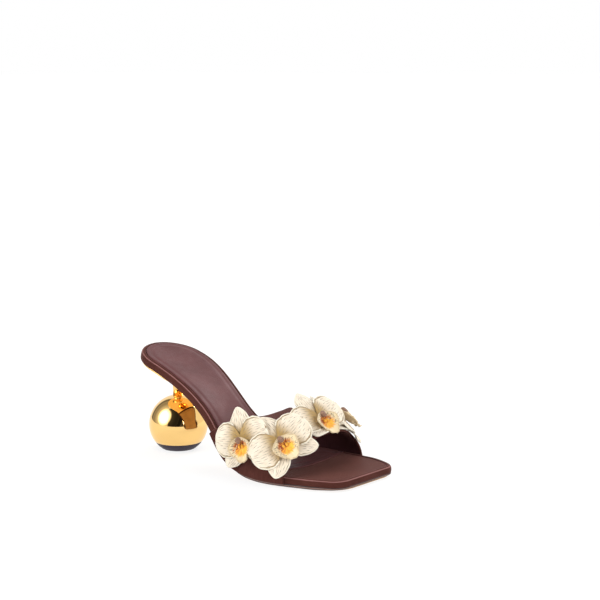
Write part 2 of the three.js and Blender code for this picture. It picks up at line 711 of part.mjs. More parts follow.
// A leaf of a flower, a curved slab with its base at the flower's middle
function leafSolid(leaf, size, height, spare, frame) {
  const reach = leaf.reach * size;
  const long = LEAF_STEPS;
  const wide = leaf.faces;
  const thick = LEAF / 2 + spare;
  const turn = toRadians(leaf.turn);
  const out = new THREE.Vector3().setFromMatrixColumn(frame, 2);
  const points = [];
  const corners = [];
  for (let i = 0; i <= long; i += 1) {
    const t = (1 - Math.cos((Math.PI * i) / long)) / 2;
    const swell = leafSwell(leaf, t);
    const half = Math.max(leaf.half * size * swell, LEAF) + spare;
    const far = lerp(-spare, reach + spare, t);
    for (let j = 0; j <= wide; j += 1) {
      const q = (2 * j) / wide - 1;
      const rise = height + reach * (leaf.tip * t * t + leaf.cup * q * q * swell * t);
      const x = far * Math.cos(turn) - q * half * Math.sin(turn);
      const y = far * Math.sin(turn) + q * half * Math.cos(turn);
      const middle = new THREE.Vector3(x, y, rise).applyMatrix4(frame);
      clearOfBand(middle, BAND_WALL + SEAM + LEAF + height);
      points.push(middle.clone().addScaledVector(out, thick));
      points.push(middle.clone().addScaledVector(out, -thick));
    }
  }
  const mark = (i, j, side) => 2 * (i * (wide + 1) + j) + side;
  const quad = (a, b, c, d) => corners.push(a, b, c, a, c, d);
  for (let i = 0; i < long; i += 1) {
    for (let j = 0; j < wide; j += 1) {
      quad(mark(i, j, 0), mark(i + 1, j, 0), mark(i + 1, j + 1, 0), mark(i, j + 1, 0));
      quad(mark(i, j, 1), mark(i, j + 1, 1), mark(i + 1, j + 1, 1), mark(i + 1, j, 1));
    }
    quad(mark(i, 0, 1), mark(i + 1, 0, 1), mark(i + 1, 0, 0), mark(i, 0, 0));
    quad(mark(i + 1, wide, 1), mark(i, wide, 1), mark(i, wide, 0), mark(i + 1, wide, 0));
  }
  for (let j = 0; j < wide; j += 1) {
    quad(mark(0, j + 1, 0), mark(0, j + 1, 1), mark(0, j, 1), mark(0, j, 0));
    quad(mark(long, j, 0), mark(long, j, 1), mark(long, j + 1, 1), mark(long, j + 1, 0));
  }
  return asSolid(gridGeometry(points, corners));
}

function discSolid(radius, from, to, frame) {
  const disc = new THREE.CylinderGeometry(radius, radius, to - from, 8);
  disc.rotateX(Math.PI / 2);
  disc.translate(0, 0, (from + to) / 2);
  disc.applyMatrix4(frame);
  return asSolid(disc);
}

// Cup of the lip, open towards the viewer, with a column over its upper rim
function lipSolid(size, height, spare, frame) {
  const deep = CUP_DEEP * size;
  const wall = LEAF + 2 * spare;
  const steps = 3;
  const profile = [];
  for (let i = 0; i <= steps; i += 1) {
    const t = i / steps;
    profile.push(new THREE.Vector2(t + spare / (CUP_WIDE * size), height + deep * t ** 2.2 - spare));
  }
  for (let i = steps; i >= 0; i -= 1) {
    const t = i / steps;
    profile.push(new THREE.Vector2(t * 0.97, height + deep * t ** 2.2 + wall - spare));
  }
  profile[0].x = 0;
  const cup = new THREE.LatheGeometry(profile, 10);
  cup.rotateX(Math.PI / 2);
  cup.scale(CUP_WIDE * size, CUP_TALL * size, 1);
  cup.translate(0, -CUP_DROP * size, 0);
  cup.applyMatrix4(frame);
  const column = new THREE.SphereGeometry(1, 7, 4);
  column.scale(COLUMN_WIDE * size + spare, COLUMN_TALL * size + spare, COLUMN_WIDE * size + spare);
  column.translate(0, COLUMN_RISE * size, height + deep * 0.6 + wall / 2);
  column.applyMatrix4(frame);
  return asSolid(cup).add(asSolid(column));
}

function orchidPieces(size, spare, frame) {
  const reach = ORCHID * size;
  const join = (leaves, height, base) => leaves.reduce(
    (all, leaf) => all.add(leafSolid(leaf, reach, height, spare, frame)),
    base,
  );
  const middle = (level, below = 0) => discSolid(
    PAD_R + spare,
    level * PETAL_STEP - LEAF / 2 - spare - below,
    level * PETAL_STEP + LEAF / 2 + spare,
    frame,
  );
  const lipHeight = 2 * PETAL_STEP - LEAF / 2;
  return {
    sepals: join(SEPALS, 0, middle(0, PAD)),
    petals: join(PETALS, PETAL_STEP, middle(1)),
    lip: join(LIP_LOBES, lipHeight + LEAF / 2, lipSolid(reach, lipHeight, spare, frame)),
  };
}

// Stands a flower off the strap where it is sewn on, facing its own way
function orchidFrame(orchid) {
  const spot = bandPoint(orchid.along, orchid.across);
  const normal = bandNormal(orchid.along, orchid.across);
  const [heading, tilt] = [toRadians(orchid.heading), toRadians(orchid.tilt)];
  const level = Math.cos(tilt);
  const out = new THREE.Vector3(level * Math.cos(heading), level * Math.sin(heading), Math.sin(tilt));
  const up = new THREE.Vector3(0, 0, 1).addScaledVector(out, -out.z).normalize();
  const side = up.clone().cross(out);
  const frame = new THREE.Matrix4().makeBasis(side, up, out);
  frame.multiply(new THREE.Matrix4().makeRotationZ(toRadians(orchid.turn)));
  frame.setPosition(spot.addScaledVector(normal, BAND_WALL + orchid.stand));
  return frame;
}

function makeOrchids() {
  const keepOut = bandSolid(-SEAM, BAND_WALL + SEAM);
  const flowers = new Map();
  for (const orchid of ORCHIDS) {
    const frame = orchidFrame(orchid);
    const whole = orchidPieces(orchid.size, 0, frame);
    const clear = orchidPieces(orchid.size, SEAM, frame);
    flowers.set(orchid.name, { whole, clear });
  }
  LAYERS.forEach((layer, i) => {
    let solid = flowers.get(layer[0]).whole[layer[1]].subtract(keepOut);
    for (const above of LAYERS.slice(i + 1)) {
      solid = solid.subtract(flowers.get(above[0]).clear[above[1]]);
    }
    const bodies = solid.decompose().sort((a, b) => b.volume() - a.volume());
    addPiece(`${layer[0]}_${layer[1]}`, asGeometry(bodies[0]), layer[1] === 'lip' ? 'lip' : 'petal');
  });
}

addPiece('outsole', asGeometry(makeOutsole()), 'sole');
addPiece('platform', asGeometry(makePlatform()), 'satin');
addPiece('insole_sock', asGeometry(makeSock()), 'leather');
addPiece('upper_band', asGeometry(bandSolid(0, BAND_WALL)), 'satin');
addPiece('heel_stem', asGeometry(makeStem()), 'gold');
addPiece('heel_ball', ballSlice(LIFT + SEAM, ballTop(), 12), 'gold');
addPiece('top_lift', ballSlice(0, LIFT, 3), 'rubber');
makeOrchids();

export default shoe;
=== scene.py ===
"""Right mule of brown satin with four stitched orchids on its strap and a heel that stands on a gold ball."""

import math

import bmesh
import bpy
import numpy as np
from mathutils import Matrix, Vector
from mathutils.bvhtree import BVHTree
from mathutils.kdtree import KDTree


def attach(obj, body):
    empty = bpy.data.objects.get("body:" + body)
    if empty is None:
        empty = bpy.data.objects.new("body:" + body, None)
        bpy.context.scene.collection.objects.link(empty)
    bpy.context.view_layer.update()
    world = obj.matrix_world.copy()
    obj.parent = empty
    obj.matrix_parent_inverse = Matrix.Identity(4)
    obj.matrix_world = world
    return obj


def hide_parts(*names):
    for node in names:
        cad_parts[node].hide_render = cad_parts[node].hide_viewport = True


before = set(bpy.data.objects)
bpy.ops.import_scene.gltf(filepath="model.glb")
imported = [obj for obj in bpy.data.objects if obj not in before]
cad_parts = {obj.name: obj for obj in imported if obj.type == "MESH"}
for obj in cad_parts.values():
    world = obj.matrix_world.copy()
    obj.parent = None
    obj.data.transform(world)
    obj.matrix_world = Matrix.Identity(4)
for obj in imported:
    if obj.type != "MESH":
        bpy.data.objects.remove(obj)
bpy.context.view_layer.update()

MM = 0.001

# Last, in millimetres as in the part's source
TOE_AHEAD = 184.9
HEEL_BEHIND = 26.8
HEEL_TOP = 82.5
TREAD_START = 124.7
SEAT_SLOPE = 14.8
SEAT_PULL = 136.6
TREAD_PULL = 75.5
BALL_WIDTH = 89.4
BAND_RISE = 33
TOE_CORNER = 11
TOE_ROUND = (12, 8)
TOE_SKEW = 1.4
CORNER_LEAD = 1
CORNER_STEPS = 14

# Layers of the sole
SEAM = 0.3
OUTSOLE = 2
ARCH_SOLE = 1.2
SOLE_CROWN = 0.8
TOE_SPRING = 0.8
FORE_SIDE = 5.2
HEEL_SIDE = 6.6
RIDGE = 2.2
ARCH_INSET = 3
FORE_INSET = 0.2
NARROW = 30  # a layer narrower than this swells less
CAP_COLUMNS = 33
UNDER_EDGE = 0.7  # rounding of the platform's lower edge
RIDGE_HIGHLIGHT_RINGS = (10, 11)  # rings of the platform's ridge that take a paler satin: a painted highlight
GROOVE_DEEP = 0.95  # groove between the platform and the sock
GROOVE_FRONT = 0.55  # the same, under the toes
# rings of the groove that take the darker lining satin: a painted shadow
GROOVE_SHADE_RINGS = (17, 18)
SOCK_INSET = 3.4
SOCK_DISH = 0.75
SOCK_PULL = 0.55  # fullness of the arc at the sock's front
TREAD_TOP = SOLE_CROWN + OUTSOLE + SEAM + FORE_SIDE

# Heel
BALL_R = 23.5
FOOT_R = 13
LIFT = 6
NECK_R = 4.15
NECK_STRAIGHT = 9
FLARE = 12
PLATE = 1.5
PLATE_INSET = 1.1
PLATE_TAPER = 2
NECK_SEAT = 0.6

# Strap
BAND_WALL = 1.7
BAND_CROWN = 1.5
LEG_TOP = 1
BAND_ROLL = 0.012  # share of the strap's width that each rolled edge takes
BAND_CLOTH = 85  # length of cloth laid over the face and the lining together

# Orchids
ORCHID = 25
LEAF = 0.7
PETAL_STEP = 1.4
LIP_HEIGHT = 2.5
LEAF_STAGGER = 0.35
LEAF_CLEAR = 1.15  # room left under a neighbour's leaf
TUCK_LIMIT = 8.0
STAND_OFF = 0.5  # least gap between a leaf's middle and the strap's face
LEAF_ROWS = 38
LEAF_COLUMNS = 21
EDGE_REACH = 3
RUFFLE = 0.45
CREASE = 0.35
BORDER = 0.6  # radius of the thread along a leaf's edge
BORDER_FROM = 13  # row of a leaf where its border starts
SHADE_FROM = 12
SHADE_TIP = 3
CORD_SIDES = 7
CORD_STEP = 0.12  # points of a thread nearer than this are left out
PETAL_VEINS = 14
SEPAL_VEINS = 9
STITCH_LONG = (3.6, 7.0)
STITCH_GAP = (0.4, 0.9)
STITCH_WIDE = 0.34
STITCH_RISE = 0.14
SEED = 7
CUP_WIDE = 0.36
CUP_TALL = 0.30
CUP_DEEP = 0.20
CUP_DROP = 0.22
COLUMN_WIDE = 0.08
COLUMN_TALL = 0.1
COLUMN_RISE = 0.02
CUP_ROWS = 20
CUP_AROUND = 90
LOBE_FRILL = 0.7
LOBE_BORDER_FROM = 8
THREAD_LONG = (1.3, 2.4)

# Numbers of materials: the first two in every piece of a flower, the next two in leaves, the rest in lips
CLOTH, EDGE = 0, 1
VEIN, SHADE = 2, 3
COLUMN, CALLUS, RUST, DARK = 2, 3, 4, 5

# How many threads, how far round the cup, between which rows, and their material's number
THREADS = ((54, math.pi * 1.25, 5, 13, RUST), (48, math.tau * 0.98, 14, 18, DARK))

# Half widths of the sole, as shares of the ball's width, at shares of the sole's length
SOLE_WIDTHS = {
    "along": (0, 0.14, 0.42, 0.73, 0.88, 1),
    "lateral": (0.320, 0.330, 0.366, 0.482, 0.405, 0.285),
    "medial": (0.299, 0.308, 0.168, 0.518, 0.512, 0.415),
}
HEEL_ROUND = 0.118
OUTSOLE_BACK = 0.262
PLATE_FRONT = 0.26
SOCK_FRONT = {"along": 0.804, "lateral": 0.72, "medial": 0.785, "apex": 0}

# The sock's edge, from its foot over the rolled border and the channel: inset and height
SOCK_PROFILE = (
    (0.6, -0.85), (0.1, -0.7), (0, -0.35), (0.12, 0.0), (0.45, 0.24), (0.95, 0.34),
    (1.7, 0.34), (2.8, 0.26), (3.6, 0.16), (4.3, 0.14), (5.2, 0.26), (6.4, 0.42),
)

# The strap's two edges: shares of the toe's reach ahead, of the ball's width across, of the strap's rise
REAR_EDGE = {
    "lateralFoot": 0.475,
    "medialFoot": 0.575,
    "ahead": (0.443, 0.497, 0.530, 0.535, 0.524, 0.503, 0.487),
    "across": (-0.412, -0.280, -0.090, 0.090, 0.246, 0.372, 0.414),
    "rise": (0.84, 0.96, 0.97, 0.99, 0.98, 0.76, 0.42),
}
FRONT_EDGE = {
    "lateralFoot": 0.817,
    "medialFoot": 0.838,
    "ahead": (0.788, 0.796, 0.808, 0.811, 0.813, 0.794, 0.793),
    "across": (-0.434, -0.314, -0.110, 0.090, 0.241, 0.380, 0.484),
    "rise": (0.357, 0.61, 0.725, 0.743, 0.68, 0.485, 0.204),
}

# Where each orchid is sewn on and the way it faces, as in the part's source
ORCHIDS = (
    {"along": 0.4, "across": 0.19, "stand": 4, "heading": -80, "tilt": 9, "turn": 18, "size": 0.98},
    {"along": 0.83, "across": 0.25, "stand": 4.1, "heading": -56, "tilt": 37, "turn": 41, "size": 1.07},
    {"along": 0.74, "across": 0.488, "stand": 4.1, "heading": -12, "tilt": 45, "turn": 13, "size": 1.05},
    {"along": 0.665, "across": 0.681, "stand": 7.2, "heading": 49, "tilt": 47, "turn": 5, "size": 1.12},
)
SEPALS = (
    {"turn": 90, "reach": 1.0, "half": 0.35, "tip": -0.08, "cup": -0.10, "round": 1.5},
    {"turn": 222, "reach": 0.98, "half": 0.33, "tip": -0.10, "cup": -0.10, "round": 1.5},
    {"turn": 318, "reach": 0.98, "half": 0.33, "tip": -0.10, "cup": -0.10, "round": 1.5},
)
PETALS = (
    {"turn": 168, "reach": 0.92, "half": 0.52, "tip": -0.05, "cup": -0.08, "round": 2.4},
    {"turn": 12, "reach": 0.92, "half": 0.52, "tip": -0.05, "cup": -0.08, "round": 2.4},
)
LIP_LOBE = {"turn": 270, "reach": 0.65, "half": 0.22, "tip": 0.12, "cup": 0.10, "round": 2.2}
LEAVES = {"petals": (PETALS, PETAL_STEP, PETAL_VEINS), "sepals": (SEPALS, 0, SEPAL_VEINS)}

# The flowers' layers from the top down, so that what lies under can bend back behind what is there
LAYERS = [
    (f"orchid_{k}", part)
    for part, order in (("lip", (2, 3, 4, 1)), ("petals", (2, 3, 4, 1)), ("sepals", (3, 2, 4, 1)))
    for k in order
]


def smoothstep(x, low, high):
    t = np.clip((np.asarray(x, float) - low) / (high - low), 0, 1)
    return t * t * (3 - 2 * t)


def lerp(a, b, t):
    return a + (b - a) * t


# The shoe's own coordinates: along the footbed, across it, and square to it


def make_spine():
    fall = math.radians(SEAT_SLOPE)
    back = np.array([-HEEL_BEHIND, HEEL_TOP])
    seat = back + SEAT_PULL * np.array([math.cos(fall), -math.sin(fall)])
    tread = np.array([TREAD_START, TREAD_TOP])
    arch = tread - np.array([TREAD_PULL, 0])
    toe = np.array([TOE_AHEAD, TREAD_TOP])
    t = np.linspace(0, 1, 1500)[:, None]
    curve = (1 - t) ** 3 * back + 3 * (1 - t) ** 2 * t * seat + 3 * (1 - t) * t * t * arch + t**3 * tread
    line = lerp(tread, toe, np.linspace(0, 1, 200)[1:, None])
    points = np.vstack([curve, line])
    steps = np.linalg.norm(np.diff(points, axis=0), axis=1)
    return points, np.concatenate([[0], np.cumsum(steps)])


SPINE, SPINE_RUN = make_spine()
SOLE_LENGTH = SPINE_RUN[-1]


def spine_at(run):
    return np.stack([np.interp(run, SPINE_RUN, SPINE[:, 0]), np.interp(run, SPINE_RUN, SPINE[:, 1])], -1)


def lay(along, across, height):
    """Points on the shoe from distances along and across the footbed and height square to it."""
    along, across, height = np.broadcast_arrays(*(np.asarray(v, float) for v in (along, across, height)))
    run = np.clip(along, 0, SOLE_LENGTH)
    spot = spine_at(run)
    step = 0.002 * SOLE_LENGTH
    tangent = spine_at(np.minimum(run + step, SOLE_LENGTH)) - spine_at(np.maximum(run - step, 0))
    tangent /= np.linalg.norm(tangent, axis=-1, keepdims=True)
    over = along - run
    x = spot[..., 0] + tangent[..., 0] * over - tangent[..., 1] * height
    z = spot[..., 1] + tangent[..., 1] * over + tangent[..., 0] * height
    return np.stack([x, across, z], -1)


def column_at(table, column, at):
    """Smooth curve through a table's column, with no overshoot between rows."""
    x = np.array(table["along"], float)
    y = np.array(table[column], float)
    slope = np.diff(y) / np.diff(x)
    tangent = np.zeros(len(x))
    tangent[0], tangent[-1] = slope[0], slope[-1]
    before, after = slope[:-1], slope[1:]
    same = before * after > 0
    tangent[1:-1][same] = 2 * before[same] * after[same] / (before[same] + after[same])
    at = np.clip(at, x[0], x[-1])
    k = np.clip(np.searchsorted(x, at, side="right") - 1, 0, len(x) - 2)
    step = x[k + 1] - x[k]
    t = (at - x[k]) / step
    bend = t * t * (3 - 2 * t) * (y[k + 1] - y[k])
    return y[k] + bend + step * t * (1 - t) * ((1 - t) * tangent[k] - t * tangent[k + 1])


def half_width(along, side):
    share = np.asarray(along, float) / SOLE_LENGTH
    round_share = np.clip(share / HEEL_ROUND, 0, 1)
    return column_at(SOLE_WIDTHS, side, share) * BALL_WIDTH * np.sqrt(1 - (1 - round_share) ** 2)


def side_depth(share):
    return lerp(HEEL_SIDE, FORE_SIDE, smoothstep(share, 0.42, 0.62))


def edge_pairs(along):
    lateral = np.stack([along, -half_width(along, "lateral")], -1)
    medial = np.stack([along, half_width(along, "medial")], -1)
    return np.stack([lateral, medial], 1)


def heel_pairs(steps):
    turn = np.arange(steps) / steps * math.pi / 2
    return edge_pairs(SOLE_LENGTH * HEEL_ROUND * (1 - np.cos(turn)))


def bend_pairs(start, pull, end, steps):
    """Pairs along a quadratic curve on each side."""
    t = np.linspace(0, 1, steps + 1)[:, None, None]
    return (1 - t) ** 2 * start + 2 * t * (1 - t) * pull + t * t * end


def toe_pairs(steps):
    start = SOLE_LENGTH - TOE_CORNER
    front = SOLE_LENGTH - np.array([TOE_SKEW, 0])
    edge = edge_pairs(np.array([start]))[0]
    tip = np.array([[front[0], -half_width(front[0], "lateral")], [front[1], half_width(front[1], "medial")]])
    inner = tip.copy()
    inner[0, 1] += TOE_ROUND[0]
    inner[1, 1] -= TOE_ROUND[1]
    return bend_pairs(edge, tip, inner, steps)


def sole_pairs(back, steps, heel_steps=0):
    run = SOLE_LENGTH * np.linspace(back, 1 - (TOE_CORNER + CORNER_LEAD) / SOLE_LENGTH, steps)
    parts = [edge_pairs(run), toe_pairs(CORNER_STEPS)]
    if heel_steps:
        parts.insert(0, heel_pairs(heel_steps))
    return np.concatenate(parts)


def sock_pairs():
    run = np.linspace(0, 1, 90)
    lateral = SOLE_LENGTH * lerp(HEEL_ROUND, SOCK_FRONT["lateral"], run)
    medial = SOLE_LENGTH * lerp(HEEL_ROUND, SOCK_FRONT["medial"], run)
    outer = np.stack([lateral, -half_width(lateral, "lateral")], -1)
    inner = np.stack([medial, half_width(medial, "medial")], -1)
    sides = np.stack([outer, inner], 1)
    apex = np.array([SOCK_FRONT["along"] * SOLE_LENGTH, SOCK_FRONT["apex"] * BALL_WIDTH])
    edge = sides[-1]
    pull = np.stack([np.full(2, apex[0]), lerp(apex[1], edge[:, 1], SOCK_PULL)], -1)
    front = bend_pairs(edge, pull, np.stack([apex, apex]), 24)[1:]
    return np.concatenate([heel_pairs(26), sides, front])


def share_of(value, share):
    return value(share) if callable(value) else np.full_like(share, value)


def ring(pairs, inset, height):
    """The outline drawn in by its inset and laid at its height, with a flat place for the cloth's grain."""
    loop = np.concatenate([pairs[:, 0], pairs[::-1, 1]])
    keep = np.linalg.norm(loop - np.roll(loop, -1, 0), axis=1) > 1e-6
    kept = loop[keep]
    into = kept - np.roll(kept, 1, 0)
    out = np.roll(kept, -1, 0) - kept
    into /= np.linalg.norm(into, axis=1, keepdims=True)
    out /= np.linalg.norm(out, axis=1, keepdims=True)
    along = into + out
    along /= np.linalg.norm(along, axis=1, keepdims=True)
    reach = 1 / np.maximum((along * into).sum(1), 0.5)
    share = kept[:, 0] / SOLE_LENGTH
    push = share_of(inset, share) * reach
    inward = np.stack([-along[:, 1], along[:, 0]], -1)
    flat = kept + inward * push[:, None]
    level = share_of(height, share)
    points = lay(flat[:, 0], flat[:, 1], level)
    cloth = flat - inward * np.maximum(-level, 0)[:, None]
    index = np.cumsum(keep) - 1
    index = np.where(keep, index, (index + 1) % len(kept))
    count = len(pairs)
    pick = lambda rows: np.stack([rows[index][:count], rows[index][count:][::-1]], 1)
    return pick(points), pick(cloth)


class Build:
    """Vertices, faces, flat places and material numbers of one mesh, in millimetres."""

    def __init__(self):
        self.points, self.cloth, self.faces, self.kinds, self.count = [], [], [], [], 0

    def put(self, points, cloth):
        points = np.asarray(points, float).reshape(-1, 3)
        start = self.count
        self.points.append(points)
        self.cloth.append(np.asarray(cloth, float).reshape(-1, 2))
        self.count += len(points)
        return start + np.arange(len(points))

    def quads(self, a, b, c, d, kind=0):
        rows = np.stack([np.ravel(v) for v in (a, b, c, d)], -1)
        self.faces.append(rows)
        self.kinds.append(np.zeros(len(rows), int) + kind)

    def grid(self, marks, kind=0, flip=False):
        a, b, c, d = marks[:-1, :-1], marks[1:, :-1], marks[1:, 1:], marks[:-1, 1:]
        if flip:
            a, b, c, d = d, c, b, a
        self.quads(a, b, c, d, kind)

    def finish(self, name, materials):
        points = np.concatenate(self.points) * MM
        cloth = np.concatenate(self.cloth)
        faces = np.concatenate(self.faces)
        kinds = np.concatenate(self.kinds)
        mesh = bpy.data.meshes.new(name)
        rows, numbers = [], []
        for row, kind in zip(faces.tolist(), kinds.tolist()):
            corners = [v for k, v in enumerate(row) if v != row[k - 1]]
            if len(set(corners)) > 2:
                rows.append(corners)
                numbers.append(kind)
        mesh.from_pydata(points.tolist(), [], rows)
        layer = mesh.uv_layers.new(name="cloth")
        corner = np.zeros(len(mesh.loops), int)
        mesh.loops.foreach_get("vertex_index", corner)
        layer.data.foreach_set("uv", cloth[corner].ravel())
        mesh.polygons.foreach_set("use_smooth", np.full(len(mesh.polygons), True))
        mesh.polygons.foreach_set("material_index", numbers)
        for material in materials:
            mesh.materials.append(material)
        weld(mesh)
        piece = bpy.data.objects.new(name, mesh)
        bpy.context.scene.collection.objects.link(piece)
        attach(piece, "root")
        return piece


def weld(mesh):
    """Joins corners that fall on one another, drops what has no area, and turns faces outwards."""
    work = bmesh.new()
    work.from_mesh(mesh)
    bmesh.ops.remove_doubles(work, verts=work.verts, dist=1e-7)
    bmesh.ops.dissolve_degenerate(work, edges=work.edges, dist=1e-7)
    bmesh.ops.recalc_face_normals(work, faces=work.faces)
    work.to_mesh(mesh)
    work.free()


def layer_build(pairs, levels, under=None, over=None, under_kind=0, kinds=None):
    """A layer of the sole from rings, lowest first; kinds gives the material over some of the rings."""
    kinds = kinds or {}
    build = Build()
    rings = [ring(pairs, inset, height) for inset, height in levels]
    marks = []
    for points, cloth in rings:
        marks.append(build.put(points, cloth).reshape(-1, 2))
    for k, (low, high) in enumerate(zip(marks, marks[1:])):
        kind = kinds.get(k, 0)
        build.quads(low[:-1, 0], low[1:, 0], high[1:, 0], high[:-1, 0], kind)
        build.quads(low[1:, 1], low[:-1, 1], high[:-1, 1], high[1:, 1], kind)
        build.quads(low[-1, 0], low[-1, 1], high[-1, 1], high[-1, 0], kind)
        build.quads(low[0, 1], low[0, 0], high[0, 0], high[0, 1], kind)
    for level, swell, up, kind in ((0, under, False, under_kind), (-1, over, True, 0)):
        points, cloth = rings[level]
        across = np.linspace(0, 1, CAP_COLUMNS)[None, 1:-1]
        share = (pairs[:, 0, 0] / SOLE_LENGTH)[:, None]
        width = np.linalg.norm(points[:, 0] - points[:, 1], axis=1)[:, None]
        rise = np.zeros((len(pairs), across.shape[1]))
        if swell is not None:
            rise = swell(share, across * np.ones_like(share), width) * np.minimum(width / NARROW, 1)
        square = lay(share * SOLE_LENGTH, 0, 1) - lay(share * SOLE_LENGTH, 0, 0)
        middle = points[:, None, 0] * (1 - across[..., None]) + points[:, None, 1] * across[..., None]
        middle = middle + square * rise[..., None]
        flat = cloth[:, None, 0] * (1 - across[..., None]) + cloth[:, None, 1] * across[..., None]
        inner = build.put(middle, flat).reshape(len(pairs), -1)
        rows = np.concatenate([marks[level][:, :1], inner, marks[level][:, 1:]], 1)
        build.grid(rows, kind, flip=not up)
        for end, forward in ((rows[0], up), (rows[-1], not up)):
            for j in range(1, len(end) - 1):
                tri = [end[0], end[j], end[j + 1]]
                if not forward:
                    tri = tri[::-1]
                build.quads(tri[0], tri[1], tri[2], tri[2], kind)
    return build


# Materials


class Nodes:
    """A small helper that wires the nodes of one tree."""

    def __init__(self, tree):
        self.tree = tree

    def node(self, kind, settings=None, **inputs):
        made = self.tree.nodes.new(kind)
        for key, value in (settings or {}).items():
            setattr(made, key, value)
        for key, value in inputs.items():
            self.feed(made.inputs[key.replace("_", " ")], value)
        return made

    def feed(self, socket, value):
        if isinstance(value, bpy.types.NodeSocket):
            self.tree.links.new(value, socket)
        else:
            socket.default_value = value

    def math(self, operation, a, b=0.0):
        made = self.node("ShaderNodeMath", {"operation": operation})
        self.feed(made.inputs[0], a)
        self.feed(made.inputs[1], b)
        return made.outputs[0]

    def span(self, value, low, high, to_low=0.0, to_high=1.0):
        made = self.node("ShaderNodeMapRange", {"interpolation_type": "SMOOTHSTEP"})
        for k, v in enumerate((value, low, high, to_low, to_high)):
            self.feed(made.inputs[k], v)
        return made.outputs[0]


class Paint(Nodes):
    """The nodes of one material."""

    def __init__(self, name, color, roughness, **sockets):
        self.material = bpy.data.materials.new(name)
        self.material.use_nodes = True
        super().__init__(self.material.node_tree)
        self.shader = next(n for n in self.tree.nodes if n.type == "BSDF_PRINCIPLED")
        self.shader.inputs["Base Color"].default_value = (*color, 1)
        self.shader.inputs["Roughness"].default_value = roughness
        for key, value in sockets.items():
            self.shader.inputs[key.replace("_", " ")].default_value = value

    def place(self, scale=(1, 1, 1), solid=False, turn=0):
        """The cloth's flat place in millimetres, or the place in space in metres."""
        if solid:
            source = self.node("ShaderNodeTexCoord").outputs["Object"]
        else:
            source = self.node("ShaderNodeUVMap", {"uv_map": "cloth"}).outputs["UV"]
        mapping = self.node("ShaderNodeMapping", Vector=source, Scale=scale, Rotation=(0, 0, turn))
        return mapping.outputs["Vector"]

    def noise(self, where, scale, detail=2):
        made = self.node("ShaderNodeTexNoise", Vector=where, Scale=scale, Detail=detail, Roughness=0.5)
        return made.outputs["Fac"]

    def wave(self, where, scale, distortion=0.0, axis="X"):
        made = self.node("ShaderNodeTexWave", {"bands_direction": axis}, Vector=where, Scale=scale,
                         Distortion=distortion, Detail=1.0)
        return made.outputs["Fac"]

    def blend(self, share, a, b):
        made = self.node("ShaderNodeMix", {"data_type": "RGBA"})
        self.feed(made.inputs[0], share)
        self.feed(made.inputs[6], a if isinstance(a, bpy.types.NodeSocket) else (*a, 1))
        self.feed(made.inputs[7], b if isinstance(b, bpy.types.NodeSocket) else (*b, 1))
        return made.outputs[2]

    def split(self, where):
        made = self.node("ShaderNodeSeparateXYZ", Vector=where)
        return made.outputs["X"], made.outputs["Y"]

    def lanes(self, far, stretch, turn, count):
        """A place for streaks that run outwards: slow along the first axis, quick across the second."""
        outwards, across = self.math("MULTIPLY", far, stretch), self.math("MULTIPLY", turn, count)
        return self.node("ShaderNodeCombineXYZ", X=outwards, Y=across).outputs["Vector"]

    def color(self, value):
        self.feed(self.shader.inputs["Base Color"], value)

    def rough(self, value):
        self.feed(self.shader.inputs["Roughness"], value)

    def bump(self, height, distance, strength=1.0, under=None):
        made = self.node("ShaderNodeBump", Height=height, Distance=distance * MM, Strength=strength)
        if under is not None:
            self.feed(made.inputs["Normal"], under)
        self.feed(self.shader.inputs["Normal"], made.outputs["Normal"])
        return made.outputs["Normal"]


def make_satin(name, light, dark):
    paint = Paint(name, light, 0.4, Sheen_Weight=0.22, Sheen_Roughness=0.35, Sheen_Tint=(0.85, 0.42, 0.36, 1),
                  Specular_IOR_Level=0.01, Specular_Tint=(1.0, 0.55, 0.5, 1))
    cloth = paint.place()
    weft = paint.wave(paint.place(turn=math.radians(26)), 1.7, 0.6)
    warp = paint.wave(paint.place(), 2.1, 0.4, "Y")
    slub = paint.noise(paint.place((0.15, 1.6, 1)), 1.0, 3)
    broad = paint.noise(cloth, 0.05, 2)
    tone = paint.math("ADD", paint.math("MULTIPLY", slub, 0.5), paint.math("MULTIPLY", broad, 0.5))
    paint.color(paint.blend(paint.span(tone, 0.3, 0.7), dark, light))
    paint.rough(paint.span(slub, 0.3, 0.7, 0.36, 0.46))
    weave = paint.math("ADD", paint.math("MULTIPLY", weft, 0.7), paint.math("MULTIPLY", warp, 0.3))
    first = paint.bump(weave, 0.06, 0.5)
    paint.bump(paint.noise(cloth, 0.09, 3), 0.5, 0.25, first)
    return paint.material


def make_leather(name, light, dark):
    paint = Paint(name, light, 0.42, Specular_IOR_Level=0.09, Specular_Tint=(1.0, 0.6, 0.62, 1),
                  Sheen_Weight=0.03, Sheen_Roughness=0.5, Sheen_Tint=(0.9, 0.6, 0.62, 1))
    cloth = paint.place()
    broad = paint.noise(cloth, 0.045, 3)
    paint.color(paint.blend(paint.span(broad, 0.3, 0.7), dark, light))
    cells = paint.node("ShaderNodeTexVoronoi", {"feature": "DISTANCE_TO_EDGE"}, Vector=cloth, Scale=1.5)
    grain = paint.span(cells.outputs["Distance"], 0.0, 0.12)
    paint.rough(paint.span(paint.noise(cloth, 0.2, 3), 0.3, 0.7, 0.38, 0.47))
    first = paint.bump(grain, 0.05, 0.35)
    paint.bump(paint.noise(cloth, 0.5, 4), 0.06, 0.4, first)
    return paint.material


def make_gold(name):
    paint = Paint(name, (0.95, 0.62, 0.235), 0.035, Metallic=1.0)
    where = paint.place(solid=True)
    paint.rough(paint.span(paint.noise(where, 90, 4), 0.35, 0.75, 0.02, 0.06))
    paint.bump(paint.noise(where, 22, 1), 0.05, 0.12)
    return paint.material


